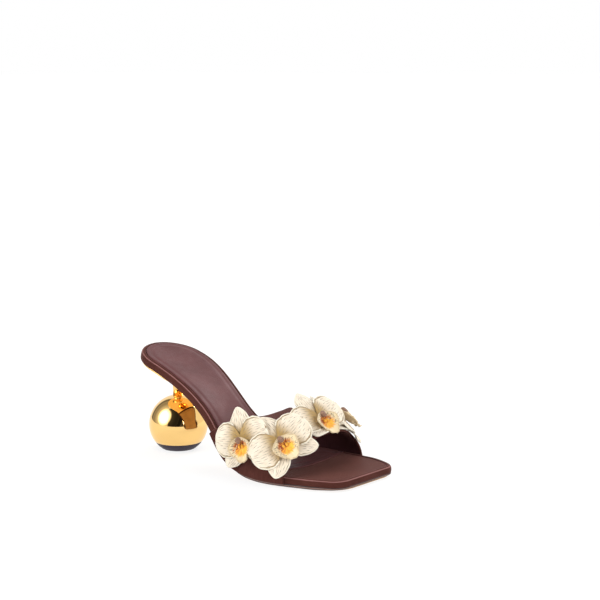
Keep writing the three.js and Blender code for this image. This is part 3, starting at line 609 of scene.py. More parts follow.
def make_rubber(name, light, dark):
    paint = Paint(name, light, 0.55, Specular_IOR_Level=0.35)
    where = paint.place(solid=True)
    paint.color(paint.blend(paint.span(paint.noise(where, 60, 3), 0.3, 0.7), dark, light))
    paint.rough(paint.span(paint.noise(where, 140, 3), 0.3, 0.7, 0.48, 0.62))
    paint.bump(paint.noise(where, 420, 3), 0.08, 0.4)
    return paint.material


def make_petal(name, light, dark, base, vein):
    """Cream cloth: olive-gold where the leaf starts, faint fanned veins, fine thread lines along it."""
    paint = Paint(name, light, 0.8, Sheen_Weight=0.2, Sheen_Roughness=0.6, Specular_IOR_Level=0.2)
    cloth = paint.place()
    far, across = paint.split(cloth)
    fan = paint.math("DIVIDE", across, paint.math("ADD", far, 4.0))
    streak = paint.noise(paint.lanes(far, 0.05, fan, 16.0), 1.6, 3)
    broad = paint.noise(cloth, 0.16, 3)
    tone = paint.blend(paint.span(broad, 0.3, 0.7), dark, light)
    veined = paint.blend(paint.math("MULTIPLY", paint.span(streak, 0.52, 0.70), 0.5), tone, vein)
    start = paint.math("ADD", far, paint.math("MULTIPLY", streak, 7.0))
    paint.color(paint.blend(paint.span(start, 8.0, 19.0), base, veined))
    threads = paint.wave(paint.place(), 1.15, 1.2, "Y")
    first = paint.bump(threads, 0.10, 0.45)
    paint.bump(paint.noise(cloth, 1.1, 3), 0.16, 0.5, first)
    return paint.material


def make_thread(name, light, dark, scale=2.6):
    """Twisted thread: fine slanting ridges round a cord."""
    paint = Paint(name, light, 0.62, Sheen_Weight=0.2, Sheen_Roughness=0.5, Specular_IOR_Level=0.3)
    cloth = paint.place()
    paint.color(paint.blend(paint.span(paint.noise(cloth, 0.7, 3), 0.35, 0.65), dark, light))
    paint.bump(paint.wave(paint.place(turn=0.5), scale, 0.5), 0.1, 0.6)
    return paint.material


def make_lip_cloth(name, cream, orange, rust):
    """Orange throat inside a cream rim, streaked with rust."""
    paint = Paint(name, cream, 0.7, Sheen_Weight=0.15, Sheen_Roughness=0.6, Specular_IOR_Level=0.25)
    cloth = paint.place()
    x, y = paint.split(cloth)
    far = paint.math("SQRT", paint.math("ADD", paint.math("MULTIPLY", x, x), paint.math("MULTIPLY", y, y)))
    angle = paint.math("ARCTAN2", y, x)
    lanes = paint.lanes(far, 0.08, angle, 2.6)
    streak = paint.noise(lanes, 2.2, 3)
    warm = paint.blend(paint.span(paint.noise(cloth, 0.35, 3), 0.35, 0.65), orange, (0.98, 0.54, 0.06))
    upper = paint.span(paint.math("SUBTRACT", y, paint.math("MULTIPLY", x, 0.5)), -3.5, 2.5)
    rusty = paint.math("MULTIPLY", paint.span(streak, 0.40, 0.54), upper)
    throat = paint.blend(rusty, warm, rust)
    edge = paint.math("SUBTRACT", far, paint.math("MULTIPLY", paint.span(streak, 0.4, 0.6), 1.3))
    paint.color(paint.blend(paint.span(edge, 4.4, 6.6), throat, cream))
    paint.bump(paint.noise(lanes, 5.0, 2), 0.25, 0.6)
    return paint.material


satin = make_satin("brown satin", (0.084, 0.029, 0.023), (0.054, 0.018, 0.014))
# Paler satin for the platform's ridge: a painted highlight
satin_painted_highlight = make_satin("satin with painted ridge highlight", (0.270, 0.128, 0.118), (0.205, 0.094, 0.086))
# Also laid in the platform's groove as a painted shadow
lining = make_satin("strap lining and painted groove shade", (0.068, 0.024, 0.026), (0.046, 0.016, 0.018))
leather = make_leather("sock leather", (0.126, 0.047, 0.047), (0.102, 0.038, 0.038))
gold = make_gold("polished gold")
sole_edge = make_rubber("sole edge", (0.050, 0.026, 0.024), (0.030, 0.016, 0.016))
sole_line = make_rubber("sole line", (0.230, 0.135, 0.110), (0.170, 0.098, 0.080))
sole_under = make_rubber("sole tread", (0.42, 0.235, 0.09), (0.34, 0.185, 0.07))
lift_rubber = make_rubber("foot rubber", (0.028, 0.018, 0.034), (0.018, 0.012, 0.022))
petal_cloth = make_petal(
    "petal cloth", (0.83, 0.735, 0.60), (0.77, 0.665, 0.52), (0.41, 0.26, 0.085), (0.52, 0.42, 0.29))
border_thread = make_thread("border thread", (0.90, 0.84, 0.71), (0.84, 0.76, 0.60))
border_shade = make_thread("border shade", (0.42, 0.31, 0.18), (0.34, 0.24, 0.12))
vein_thread = make_thread("vein thread", (0.26, 0.195, 0.13), (0.19, 0.14, 0.09))
lip_cloth = make_lip_cloth("lip cloth", (0.76, 0.63, 0.40), (0.86, 0.33, 0.03), (0.34, 0.07, 0.02))
lip_back = make_thread("lip back", (0.74, 0.60, 0.40), (0.60, 0.46, 0.26), 1.4)
column_cloth = make_thread("column cloth", (0.30, 0.17, 0.11), (0.21, 0.11, 0.07))
callus_cloth = make_thread("callus cloth", (0.92, 0.50, 0.05), (0.80, 0.36, 0.03))
rust_thread = make_thread("rust thread", (0.36, 0.09, 0.03), (0.26, 0.05, 0.02))


# The sole and its layers


def make_platform():
    """Insole board wrapped in satin: soft under edge, upright side, rounded ridge and the sock's groove."""
    pairs = sole_pairs(HEEL_ROUND, 150, heel_steps=30)
    bottom = lambda share: -side_depth(share)
    groove = lambda share: lerp(-GROOVE_DEEP, -GROOVE_FRONT, smoothstep(share, 0.64, 0.69))
    levels = [(1.2, bottom)]
    for turn in np.linspace(0, math.pi / 2, 5):
        inset = UNDER_EDGE * (1 - math.sin(turn))
        lift = UNDER_EDGE * (1 - math.cos(turn))
        levels.append((inset, lambda share, lift=lift: lift - side_depth(share)))
    levels.append((-0.12, lambda share: -0.5 * side_depth(share) - 0.6))
    for turn in np.linspace(0, math.pi / 2, 9):
        levels.append((RIDGE * (1 - math.cos(turn)), RIDGE * (math.sin(turn) - 1)))
    levels.append((SOCK_INSET - 0.55, lambda share: -0.08 + 0 * share))
    levels.append((SOCK_INSET - 0.2, lambda share: 0.5 * groove(share)))
    levels.append((SOCK_INSET, groove))
    levels.append((SOCK_INSET + 0.8, groove))
    # The groove rings take the darker lining satin as a painted shadow
    # The ridge rings take the paler satin as a painted highlight
    kinds = {RIDGE_HIGHLIGHT_RINGS[0]: 1, RIDGE_HIGHLIGHT_RINGS[1]: 1, GROOVE_SHADE_RINGS[0]: 2, GROOVE_SHADE_RINGS[1]: 2}
    piece = layer_build(pairs, levels, kinds=kinds).finish("platform_satin", [satin, satin_painted_highlight, lining])
    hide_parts("platform")
    return piece


def make_sock():
    """Padded sock with a rolled edge, a shallow channel inside it and a dished middle."""
    pairs = sock_pairs()
    front = lambda share: smoothstep(share, 0.62, 0.70)
    levels = []
    for inset, height in SOCK_PROFILE:
        low = min(height, 0.0) * 0.65
        flat = lambda share, h=height, low=low: lerp(h, low if h < 0 else h * 0.6, front(share))
        levels.append((SOCK_INSET + 0.05 + inset, flat))
    dish = lambda share, across, width: -SOCK_DISH * (1 - (2 * across - 1) ** 2) ** 1.5
    piece = layer_build(pairs, levels, over=dish).finish("sock_leather", [leather])
    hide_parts("insole_sock")
    return piece


def make_outsole():
    pairs = sole_pairs(OUTSOLE_BACK, 130)
    fore = lambda share: smoothstep(share, 0.5, 0.68)
    spring = lambda share: TOE_SPRING * smoothstep(share, 0.9, 1)
    top = lambda share: -side_depth(share) - 0.02
    thick = lambda share: lerp(ARCH_SOLE, OUTSOLE, fore(share)) - spring(share) + SEAM
    inset = lambda share: lerp(ARCH_INSET, FORE_INSET, fore(share))
    levels = []
    for grow, part in ((0.9, 1.0), (0.45, 0.95), (0.12, 0.8), (0, 0.6), (0, 0.3), (0.1, 0.1), (0.3, 0)):
        height = lambda share, part=part: top(share) - thick(share) * part
        levels.append((lambda share, grow=grow: inset(share) + grow, height))
    crown = lambda share, across, width: -SOLE_CROWN * fore(share) * smoothstep(
        1 - np.abs(2 * across - 1), 0, 0.16)
    piece = layer_build(pairs, levels, under=crown, under_kind=1, kinds={3: 2}).finish(
        "outsole_rubber", [sole_edge, sole_under, sole_line])
    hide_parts("outsole")
    return piece


# The heel


def height_at(ahead, height):
    run = np.linspace(0, SOLE_LENGTH, 800)
    spots = lay(run, 0, height)
    return np.interp(ahead, spots[:, 0], spots[:, 2])


BALL_MIDDLE = math.sqrt(BALL_R**2 - FOOT_R**2)
BALL_TOP = BALL_MIDDLE + math.sqrt(BALL_R**2 - (NECK_R + NECK_SEAT) ** 2)


def turned(name, profile, material, around=128):
    """A round solid about the heel's axis from (radius, height) rows, the first and last on the axis."""
    profile = np.array(profile, float)
    turn = np.arange(around + 1) / around * math.tau
    points = np.stack(
        [profile[:, :1] * np.cos(turn), profile[:, :1] * np.sin(turn), profile[:, 1:] + 0 * turn], -1)
    build = Build()
    cloth = np.stack([np.broadcast_to(turn * BALL_R, points.shape[:2]), points[..., 2]], -1)
    build.grid(build.put(points, cloth).reshape(points.shape[:2]))
    return build.finish(name, [material])


def make_ball():
    start = math.asin((LIFT + 0.12 - BALL_MIDDLE) / BALL_R)
    end = math.asin((BALL_TOP - BALL_MIDDLE) / BALL_R)
    rows = [(0, LIFT + 0.12)]
    for angle in np.linspace(start, end, 72):
        rows.append((BALL_R * math.cos(angle), BALL_MIDDLE + BALL_R * math.sin(angle)))
    rows.append((0, BALL_TOP))
    piece = turned("ball_gold", rows, gold)
    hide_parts("heel_ball")
    return piece


def make_lift():
    """Rubber foot that carries the ball's curve on to the floor, with a fine groove under the gold."""
    rows = [(0, 0), (FOOT_R - 0.5, 0), (FOOT_R, 0.12)]
    start = math.asin((0.3 - BALL_MIDDLE) / BALL_R)
    end = math.asin((LIFT - 0.25 - BALL_MIDDLE) / BALL_R)
    for angle in np.linspace(start, end, 18):
        rows.append((BALL_R * math.cos(angle) - 0.12, BALL_MIDDLE + BALL_R * math.sin(angle)))
    rows += [(rows[-1][0] - 0.3, LIFT - 0.06), (0, LIFT - 0.06)]
    piece = turned("foot_rubber", rows, lift_rubber, 96)
    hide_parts("top_lift")
    return piece


def make_stem():
    """Gold neck that flares into the thin plate under the heel seat."""
    plate_top = lambda share: -side_depth(share) - 0.04
    thin = lambda share: lerp(PLATE + SEAM, PLATE * 0.4 + SEAM, smoothstep(share, 0.18, PLATE_FRONT))
    inset = lambda share: PLATE_INSET + PLATE_TAPER * smoothstep(share, 0.16, PLATE_FRONT)
    sides = edge_pairs(SOLE_LENGTH * np.linspace(HEEL_ROUND, PLATE_FRONT, 40))
    pairs = np.concatenate([heel_pairs(30), sides])
    levels = []
    for grow, part in ((1.4, 1.0), (0.6, 0.93), (0.15, 0.72), (0, 0.45), (0.05, 0.15), (0.25, 0)):
        height = lambda share, part=part: plate_top(share) - thin(share) * part
        levels.append((lambda share, grow=grow: inset(share) + grow, height))
    build = layer_build(pairs, levels)
    around, rows = 96, 40
    turn = np.arange(around + 1) / around * math.tau
    foot = BALL_TOP - 0.05
    bend = BALL_TOP + SEAM + NECK_STRAIGHT
    under = -HEEL_SIDE - SEAM - PLATE * 0.5
    points = []
    for radius in (0, NECK_R - 0.15, NECK_R):
        points.append(np.stack([radius * np.cos(turn), radius * np.sin(turn), np.full_like(turn, foot)], -1))
    for t in np.linspace(0, 1, rows):
        radius = NECK_R + FLARE * (1 - math.sqrt(1 - (t * 0.985) ** 2))
        x, y = radius * np.cos(turn), radius * np.sin(turn)
        points.append(np.stack([x, y, lerp(bend, height_at(x, under), t)], -1))
    points.append(np.stack([0 * turn, 0 * turn, np.full_like(turn, height_at(0, under))], -1))
    points = np.stack(points)
    cloth = np.stack([np.broadcast_to(turn * NECK_R, points.shape[:2]), points[..., 2]], -1)
    build.grid(build.put(points, cloth).reshape(points.shape[:2]))
    piece = build.finish("stem_gold", [gold])
    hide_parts("heel_stem")
    return piece


# The strap


def catmull(controls, w):
    """Centripetal Catmull-Rom curve through controls, shaped (..., controls, 3), at shares w."""
    count = controls.shape[-2]
    place = np.asarray(w, float) * (count - 1)
    k = np.clip(np.floor(place).astype(int), 0, count - 2)
    weight = (place - k)[..., None]
    pick = lambda i: np.take_along_axis(controls, i[..., None, None] + np.zeros((1, 3), int), -2)[..., 0, :]
    p1, p2 = pick(k), pick(k + 1)
    first = controls[..., 0, :] * 2 - controls[..., 1, :]
    last = controls[..., -1, :] * 2 - controls[..., -2, :]
    p0 = np.where((k > 0)[..., None], pick(np.maximum(k - 1, 0)), first)
    p3 = np.where((k < count - 2)[..., None], pick(np.minimum(k + 2, count - 1)), last)
    gap = lambda a, b: ((a - b) ** 2).sum(-1, keepdims=True) ** 0.25
    d0, d1, d2 = gap(p0, p1), gap(p1, p2), gap(p2, p3)
    d1 = np.where(d1 < 1e-4, 1.0, d1)
    d0 = np.where(d0 < 1e-4, d1, d0)
    d2 = np.where(d2 < 1e-4, d1, d2)
    t1 = ((p1 - p0) / d0 - (p2 - p0) / (d0 + d1) + (p2 - p1) / d1) * d1
    t2 = ((p2 - p1) / d1 - (p3 - p1) / (d1 + d2) + (p3 - p2) / d2) * d1
    c2 = -3 * p1 + 3 * p2 - 2 * t1 - t2
    c3 = 2 * p1 - 2 * p2 + t1 + t2
    return p1 + t1 * weight + c2 * weight**2 + c3 * weight**3


def band_controls(v):
    v = np.asarray(v, float)
    mix = lambda key: lerp(np.array(REAR_EDGE[key], float), np.array(FRONT_EDGE[key], float), v[..., None])

    def foot(side, sign, height):
        along = mix(f"{side}Foot")[..., 0] * SOLE_LENGTH
        level = height(along / SOLE_LENGTH)
        return lay(along, sign * (half_width(along, side) + SEAM * 1.2), level)

    depth = lambda share: SEAM - side_depth(share)
    top = lambda share: -LEG_TOP + 0 * share
    spots = np.stack([
        mix("ahead") * TOE_AHEAD,
        mix("across") * BALL_WIDTH,
        TREAD_TOP + mix("rise") * BAND_RISE,
    ], -1)
    out = spots * [0, 1, 1] - [0, 0, TREAD_TOP]
    out /= np.linalg.norm(out, axis=-1, keepdims=True)
    spots = spots + out * (BAND_CROWN * 4 * v * (1 - v))[..., None, None]
    ends = [foot("lateral", -1, depth), foot("lateral", -1, top)]
    other = [foot("medial", 1, top), foot("medial", 1, depth)]
    return np.concatenate([np.stack(ends, -2), spots, np.stack(other, -2)], -2)


def band_point(v, w):
    v, w = np.broadcast_arrays(np.asarray(v, float), np.asarray(w, float))
    return catmull(band_controls(v), w)


def band_normal(v, w):
    step = 0.01
    cap = lambda value: np.clip(value, 0, 1)
    across = band_point(v, cap(w + step)) - band_point(v, cap(w - step))
    along = band_point(cap(v + step), w) - band_point(cap(v - step), w)
    normal = np.cross(along, across)
    return normal / np.linalg.norm(normal, axis=-1, keepdims=True)


def band_swell(v, w):
    """Soft, uneven fullness of the strap's face, fading out towards its two edges."""
    edge = math.sin(math.pi * min(max(v, 0), 1)) ** 0.5
    broad = 0.22 * np.sin(11 * w + 3 * v) * np.sin(7 * v + 5 * w)
    return np.clip(edge * (broad + 0.12 * np.sin(29 * w - 9 * v)), -0.25, 0.3)


def make_band():
    """The strap: satin face rolled over both edges on to a darker lining."""
    rows, columns = 56, 190
    inset = BAND_ROLL
    w = np.linspace(0, 1, columns + 1)
    face = [(v, BAND_WALL, 0) for v in np.linspace(inset, 1 - inset, rows)]
    half = BAND_WALL / 2
    roll = np.linspace(0, math.pi, 9)[1:-1]
    front = [(1 - inset + inset * math.sin(a), half + half * math.cos(a), 0) for a in roll]
    back = [(inset - inset * math.sin(a), half - half * math.cos(a), 0) for a in roll]
    inside = [(v, 0.0, 1) for v in np.linspace(1 - inset, inset, rows)]
    loop = face + front + inside + back
    build = Build()
    grid, cloth = [], []
    run = 0
    for v, rise, _ in loop:
        spots = band_point(v, w)
        normal = band_normal(v, w)
        lift = rise + (band_swell(v, w) if rise > half else 0 * w)
        grid.append(spots + normal * lift[..., None])
        length = np.concatenate([[0], np.cumsum(np.linalg.norm(np.diff(spots, axis=0), axis=1))])
        cloth.append(np.stack([length, np.full_like(length, run)], -1))
        run += BAND_CLOTH / (2 * rows)
    grid, cloth = np.stack(grid), np.stack(cloth)
    marks = build.put(grid, cloth).reshape(grid.shape[:2])
    closed = np.concatenate([marks, marks[:1]])
    for i, (_, _, kind) in enumerate(loop):
        build.grid(closed[i : i + 2], kind)
    for end in (0, columns):
        ends = marks[:, end]
        count = len(ends)
        for j in range(count // 2 - 1):
            build.quads(ends[j], ends[j + 1], ends[(count - 2 - j) % count], ends[(count - 1 - j) % count])
    piece = build.finish("strap_satin", [satin, lining])
    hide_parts("upper_band")
    return piece


# Orchids


def orchid_frame(orchid):
    """A flower's own axes (its right, its upper sepal's way, its face's way) and where it stands."""
    spot = band_point(orchid["along"], orchid["across"])
    normal = band_normal(orchid["along"], orchid["across"])
    heading, tilt, turn = (math.radians(orchid[key]) for key in ("heading", "tilt", "turn"))
    out = np.array([math.cos(tilt) * math.cos(heading), math.cos(tilt) * math.sin(heading), math.sin(tilt)])
    up = np.array([0, 0, 1]) - out * out[2]
    up /= np.linalg.norm(up)
    side = np.cross(up, out)
    right = side * math.cos(turn) + up * math.sin(turn)
    upper = up * math.cos(turn) - side * math.sin(turn)
    return np.stack([right, upper, out]), spot + normal * (BAND_WALL + orchid["stand"])


def sample_band():
    v, w = np.meshgrid(np.linspace(0, 1, 40), np.linspace(0, 1, 130), indexing="ij")
    return band_point(v, w).reshape(-1, 3), band_normal(v, w).reshape(-1, 3)


BAND_SPOTS, BAND_NORMALS = sample_band()
BAND_TREE = KDTree(len(BAND_SPOTS))
for number, place_on_band in enumerate(BAND_SPOTS):
    BAND_TREE.insert(place_on_band, number)
BAND_TREE.balance()


def clear_of_band(sheet, height):
    """Lifts a sheet until it stands this far off the strap's lining, fading out past the strap's edges."""
    flat = sheet.reshape(-1, 3)
    nearest = np.array([BAND_TREE.find(spot)[1] for spot in flat])
    over = flat - BAND_SPOTS[nearest]
    normal = BAND_NORMALS[nearest]
    stand = (over * normal).sum(1)
    beside = np.linalg.norm(over - normal * stand[:, None], axis=1)
    lift = np.maximum(height - stand, 0) * (1 - smoothstep(beside, EDGE_REACH, 2 * EDGE_REACH))
    lift = smooth_grid(lift.reshape(sheet.shape[:2]), 3).ravel()
    return (flat + normal * lift[:, None]).reshape(sheet.shape)


def smooth_grid(values, times):
    for _ in range(times):
        padded = np.pad(values, 1, mode="edge")
        around = padded[:-2, 1:-1] + padded[2:, 1:-1] + padded[1:-1, :-2] + padded[1:-1, 2:]
        values = 0.5 * values + 0.125 * around
    return values


def tuck_under(sheet, out, trees):
    """Bends a sheet back behind the leaves of the neighbouring flowers that lie over it."""
    flat = sheet.reshape(-1, 3)
    shift = np.zeros(len(flat))
    way = Vector(out)
    for tree in trees:
        for k, spot in enumerate(flat):
            hit = tree.ray_cast(Vector(spot) - way * TUCK_LIMIT, way, 2.5 * TUCK_LIMIT)
            if hit[0] is not None:
                room = hit[3] - TUCK_LIMIT - LEAF_CLEAR
                shift[k] = min(shift[k], room)
    least = shift.reshape(sheet.shape[:2])
    bent = least
    for _ in range(14):
        bent = np.minimum(least, smooth_grid(bent, 2))
    return sheet + bent[..., None] * out


def leaf_sheet(leaf, size, height):
    """A leaf's middle surface in its flower's own millimetres, with its flat place."""
    t = (1 - np.cos(np.linspace(0, math.pi, LEAF_ROWS)))[:, None] / 2
    q = np.linspace(-1, 1, LEAF_COLUMNS)[None]
    oval = (1 - np.abs(2 * t - 1) ** leaf["round"]) ** (1 / leaf["round"])
    swell = oval * lerp(0.6, 1, smoothstep(t, 0, 0.45))
    reach = leaf["reach"] * size
    half = np.maximum(leaf["half"] * size * swell, 0.3) * (1 + 0.012 * np.sin(31 * t + leaf["turn"]))
    turn = math.radians(leaf["turn"])
    far = reach * t + 0 * q
    across = q * half
    rise = height + reach * (leaf["tip"] * t * t + leaf["cup"] * q * q * swell * t)
    wave = np.sin(9 * t + leaf["turn"] + 1.3 * np.sign(q)) + 0.5 * np.sin(17 * t - leaf["turn"])
    rise = rise + RUFFLE * wave * np.abs(q) ** 3 * smoothstep(t, 0.15, 0.5)
    rise = rise - CREASE * np.exp(-((q / 0.11) ** 2)) * smoothstep(t, 0.1, 0.4) * (1 - smoothstep(t, 0.7, 1))
    x = far * math.cos(turn) - across * math.sin(turn)
    y = far * math.sin(turn) + across * math.cos(turn)
    return np.stack([x, y, rise], -1), np.stack([far, across], -1)


def sheet_normals(sheet):
    down, over = np.gradient(sheet, axis=0), np.gradient(sheet, axis=1)
    normal = np.cross(down, over)
    return normal / np.maximum(np.linalg.norm(normal, axis=-1, keepdims=True), 1e-9)


def facing(normals, sample, out):
    """Normals turned to the side that the flower faces, judged by a sample of them."""
    return -normals if (sample * out).sum() < 0 else normals


def slab(build, sheet, normals, cloth, thick, face_kind, back_kind, closed=False, rim_kind=None):
    """A sheet with its thickness and a closed rim; a closed sheet runs round on itself."""
    front = build.put(sheet + normals * thick / 2, cloth).reshape(sheet.shape[:2])
    back = build.put(sheet - normals * thick / 2, cloth).reshape(sheet.shape[:2])
    kinds = np.full((front.shape[0] - 1, front.shape[1] - 1), face_kind)
    if rim_kind is not None:
        kinds[SHADE_FROM:, [0, -1]] = rim_kind
        kinds[-SHADE_TIP:] = rim_kind
    build.grid(front, kinds.ravel())
    build.grid(back, back_kind, flip=True)
    build.grid(np.stack([front[-1], back[-1]]), back_kind)
    if not closed:
        build.grid(np.stack([front[0], back[0]]), back_kind, flip=True)
        build.grid(np.stack([front[:, 0], back[:, 0]]), back_kind)
        build.grid(np.stack([front[:, -1], back[:, -1]]), back_kind, flip=True)


def cord(build, path, normals, radius, kind, closed=False):
    """A round thread border laid along a path."""
    if closed:
        ahead = np.roll(path, -1, 0) - np.roll(path, 1, 0)
    else:
        ahead = np.gradient(path, axis=0)
    ahead /= np.maximum(np.linalg.norm(ahead, axis=1, keepdims=True), 1e-9)
    beside = np.cross(ahead, normals)
    beside /= np.maximum(np.linalg.norm(beside, axis=1, keepdims=True), 1e-9)
    over = np.cross(beside, ahead)
    width = np.full(len(path), radius)
    if not closed:
        width[[0, -1]] = 0
    turn = np.arange(CORD_SIDES + 1) / CORD_SIDES * math.tau
    rings = path[:, None] + width[:, None, None] * (
        over[:, None] * np.cos(turn)[None, :, None] + beside[:, None] * np.sin(turn)[None, :, None])
    run = np.concatenate([[0], np.cumsum(np.linalg.norm(np.diff(path, axis=0), axis=1))])
    around = np.repeat(turn[None] * radius, len(path), 0)
    cloth = np.stack([np.repeat(run[:, None], CORD_SIDES + 1, 1), around], -1)
    marks = build.put(rings, cloth).reshape(rings.shape[:2])
    if closed:
        marks = np.concatenate([marks, marks[:1]])
    build.grid(marks, kind)


def rim_cord(build, sheet, normals, start, radius):
    """A thread border round a leaf's sides and tip, from this row on."""
    around = lambda grid: np.concatenate([grid[start:, 0], grid[-1, 1:-1], grid[start:, -1][::-1]])
    edge, edge_normals = around(sheet), around(normals)
    apart = np.concatenate([[True], np.linalg.norm(np.diff(edge, axis=0), axis=1) > CORD_STEP])
    cord(build, edge[apart], edge_normals[apart], radius, EDGE)


def dashes(build, spots, along, normals, length, width, rise, kind):
    """Small raised stitches, each a long low lozenge let into the cloth."""
    if not len(spots):
        return
    along = along / np.linalg.norm(along, axis=1, keepdims=True)
    beside = np.cross(normals, along)
    length, width = (np.broadcast_to(v, len(spots))[:, None] for v in (length, width))
    corners = [spots - along * length / 2, spots - beside * width / 2, spots + along * length / 2,
               spots + beside * width / 2, spots + normals * rise, spots - normals * rise]
    marks = build.put(np.stack(corners, 1), np.zeros((len(spots), 6, 2))).reshape(-1, 6)
    for k in range(4):
        nearest, after = marks[:, k], marks[:, (k + 1) % 4]
        build.quads(nearest, after, marks[:, 4], marks[:, 4], kind)
        build.quads(after, nearest, marks[:, 5], marks[:, 5], kind)


def vein_stitches(build, sheet, normals, veins, rng):
    """Broken lines of stitches that fan out along a leaf."""
    rows, columns = sheet.shape[:2]
    run = np.linalg.norm(sheet[-1, columns // 2] - sheet[0, columns // 2])
    spots, ways, ups, sizes = [], [], [], []
    for k, lane in enumerate(np.linspace(-0.88, 0.88, veins)):
        start = 0.20 if k % 2 else 0.34
        at = start * run + rng.uniform(0, 2)
        end = run * (0.93 - 0.16 * abs(lane))
        while at < end:
            size = rng.uniform(*STITCH_LONG)
            t = math.acos(1 - 2 * min(at / run, 1)) / math.pi * (rows - 1)
            q = (lane + rng.uniform(-0.006, 0.006) + 1) / 2 * (columns - 1)
            i, j = int(t), int(q)
            if i + 1 < rows and j + 1 < columns:
                low = lerp(sheet[i, j], sheet[i, j + 1], q - j)
                high = lerp(sheet[i + 1, j], sheet[i + 1, j + 1], q - j)
                spots.append(lerp(low, high, t - i) + normals[i, j] * LEAF / 2)
                ways.append(high - low)
                ups.append(normals[i, j])
                sizes.append(size)
            at += size + rng.uniform(*STITCH_GAP)
    spots, ways, ups, sizes = (np.array(values) for values in (spots, ways, ups, sizes))
    dashes(build, spots, ways, ups, sizes, STITCH_WIDE, STITCH_RISE, VEIN)


def leaf_build(build, leaf, size, height, axes, at, trees, rng, veins):
    local, cloth = leaf_sheet(leaf, size, height)
    sheet = local @ axes + at
    sheet = clear_of_band(sheet, BAND_WALL + STAND_OFF + height)
    sheet = tuck_under(sheet, axes[2], trees)
    sheet = clear_of_band(sheet, BAND_WALL + STAND_OFF)
    normals = sheet_normals(sheet)
    normals = facing(normals, normals[LEAF_ROWS // 2, LEAF_COLUMNS // 2], axes[2])
    slab(build, sheet, normals, cloth, LEAF, CLOTH, CLOTH, rim_kind=SHADE)
    rim_cord(build, sheet, normals, BORDER_FROM, BORDER)
    vein_stitches(build, sheet, normals, veins, rng)
    return sheet


def sheet_tree(sheet):
    rows, columns = sheet.shape[:2]
    marks = np.arange(rows * columns).reshape(rows, columns)
    faces = np.stack([marks[:-1, :-1], marks[1:, :-1], marks[1:, 1:], marks[:-1, 1:]], -1).reshape(-1, 4)
    return BVHTree.FromPolygons(sheet.reshape(-1, 3).tolist(), faces.tolist())


def make_leaves(node, leaves, size, height, axes, at, trees, rng, veins):
    build = Build()
    sheets = []
    for k, leaf in enumerate(leaves):
        sheets.append(leaf_build(build, leaf, size, height + LEAF_STAGGER * k, axes, at, trees, rng, veins))
    piece = build.finish(f"{node}_cloth", [petal_cloth, border_thread, vein_thread, border_shade])
    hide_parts(node)
    return [sheet_tree(sheet) for sheet in sheets]


def oval_solid(build, middle, half, axes, kind):
    """A small rounded bead, such as the flower's column."""
    rows, around = 12, 18
    angle = np.linspace(-math.pi / 2, math.pi / 2, rows)[:, None]
    turn = (np.arange(around + 1) / around * math.tau)[None]
    local = np.stack([
        half[0] * np.cos(angle) * np.cos(turn),
        half[1] * np.cos(angle) * np.sin(turn),
        half[2] * np.sin(angle) + 0 * turn,
    ], -1)
    points = (np.array(middle) + local) @ axes[0] + axes[1]
    build.grid(build.put(points, local[..., :2]).reshape(points.shape[:2]), kind)


def lip_cup(build, size, axes, at):
    """Ruffled cup, pear-shaped, with a thread round its rim."""
    r = np.linspace(0.02, 1, CUP_ROWS)[:, None]
    turn = (np.arange(CUP_AROUND + 1) / CUP_AROUND * math.tau)[None]
    side = np.abs(np.cos(turn)) ** 1.5
    below = np.clip(-np.sin(turn), 0, 1) ** 2
    pear = 1 + 0.10 * below + 0.03 * np.sin(5 * turn) * r**4
    x = CUP_WIDE * size * r * np.cos(turn) * pear * (1 - 0.16 * below)
    y = -CUP_DROP * size + CUP_TALL * size * r * np.sin(turn) * pear
    deep = CUP_DEEP * size * (0.72 + 0.38 * side - 0.30 * below)
    ruffle = 0.22 * np.sin(9 * turn) * r**6
    rise = LIP_HEIGHT + deep * r**2.2 + ruffle - 0.035 * size * smoothstep(r, 0.86, 1)
    sheet = np.stack([x, y, rise], -1) @ axes + at
    normals = sheet_normals(sheet)
    normals = facing(normals, normals[4].mean(0), axes[2])
    cloth = np.stack([x, y + CUP_DROP * size], -1)
    slab(build, sheet, normals, cloth, LEAF, CLOTH, EDGE, closed=True)
    cord(build, sheet[-1, :-1], normals[-1, :-1], BORDER, EDGE, closed=True)
    return sheet, normals


def lip_lobe(build, size, axes, at):
    """Frilled lobe that hangs below the cup."""
    local, _ = leaf_sheet(LIP_LOBE, size, LIP_HEIGHT + LEAF)
    along, across = np.linspace(0, 1, LEAF_ROWS)[:, None], np.linspace(-1, 1, LEAF_COLUMNS)[None]
    frill = LOBE_FRILL * np.sin(22 * along) * np.abs(across) ** 2
    local[..., 2] += frill * smoothstep(along, 0.35, 0.7)
    sheet = local @ axes + at
    normals = sheet_normals(sheet)
    normals = facing(normals, normals[LEAF_ROWS // 2, LEAF_COLUMNS // 2], axes[2])
    cloth = local[..., :2] + np.array([0, CUP_DROP * size])
    slab(build, sheet, normals, cloth, LEAF, CLOTH, EDGE)
    rim_cord(build, sheet, normals, LOBE_BORDER_FROM, BORDER * 0.9)
    return sheet


def lip_beads(build, size, frame_at):
    """The column with its cap over the cup, and two small calli in the throat."""
    height = LIP_HEIGHT + CUP_DEEP * size * 0.6 + LEAF
    wide, tall = COLUMN_WIDE * size, COLUMN_TALL * size
    middle = COLUMN_RISE * size
    oval_solid(build, (0, middle, height), (wide, tall, wide), frame_at, COLUMN)
    cap = (wide * 0.72, tall * 0.4, wide * 0.6)
    oval_solid(build, (0, middle - tall * 0.75, height + wide * 0.35), cap, frame_at, COLUMN)
    callus = (0.035 * size, 0.06 * size, 0.05 * size)
    for hand in (-1, 1):
        spot = (hand * 0.05 * size, -0.17 * size, LIP_HEIGHT + 0.07 * size)
        oval_solid(build, spot, callus, frame_at, CALLUS)


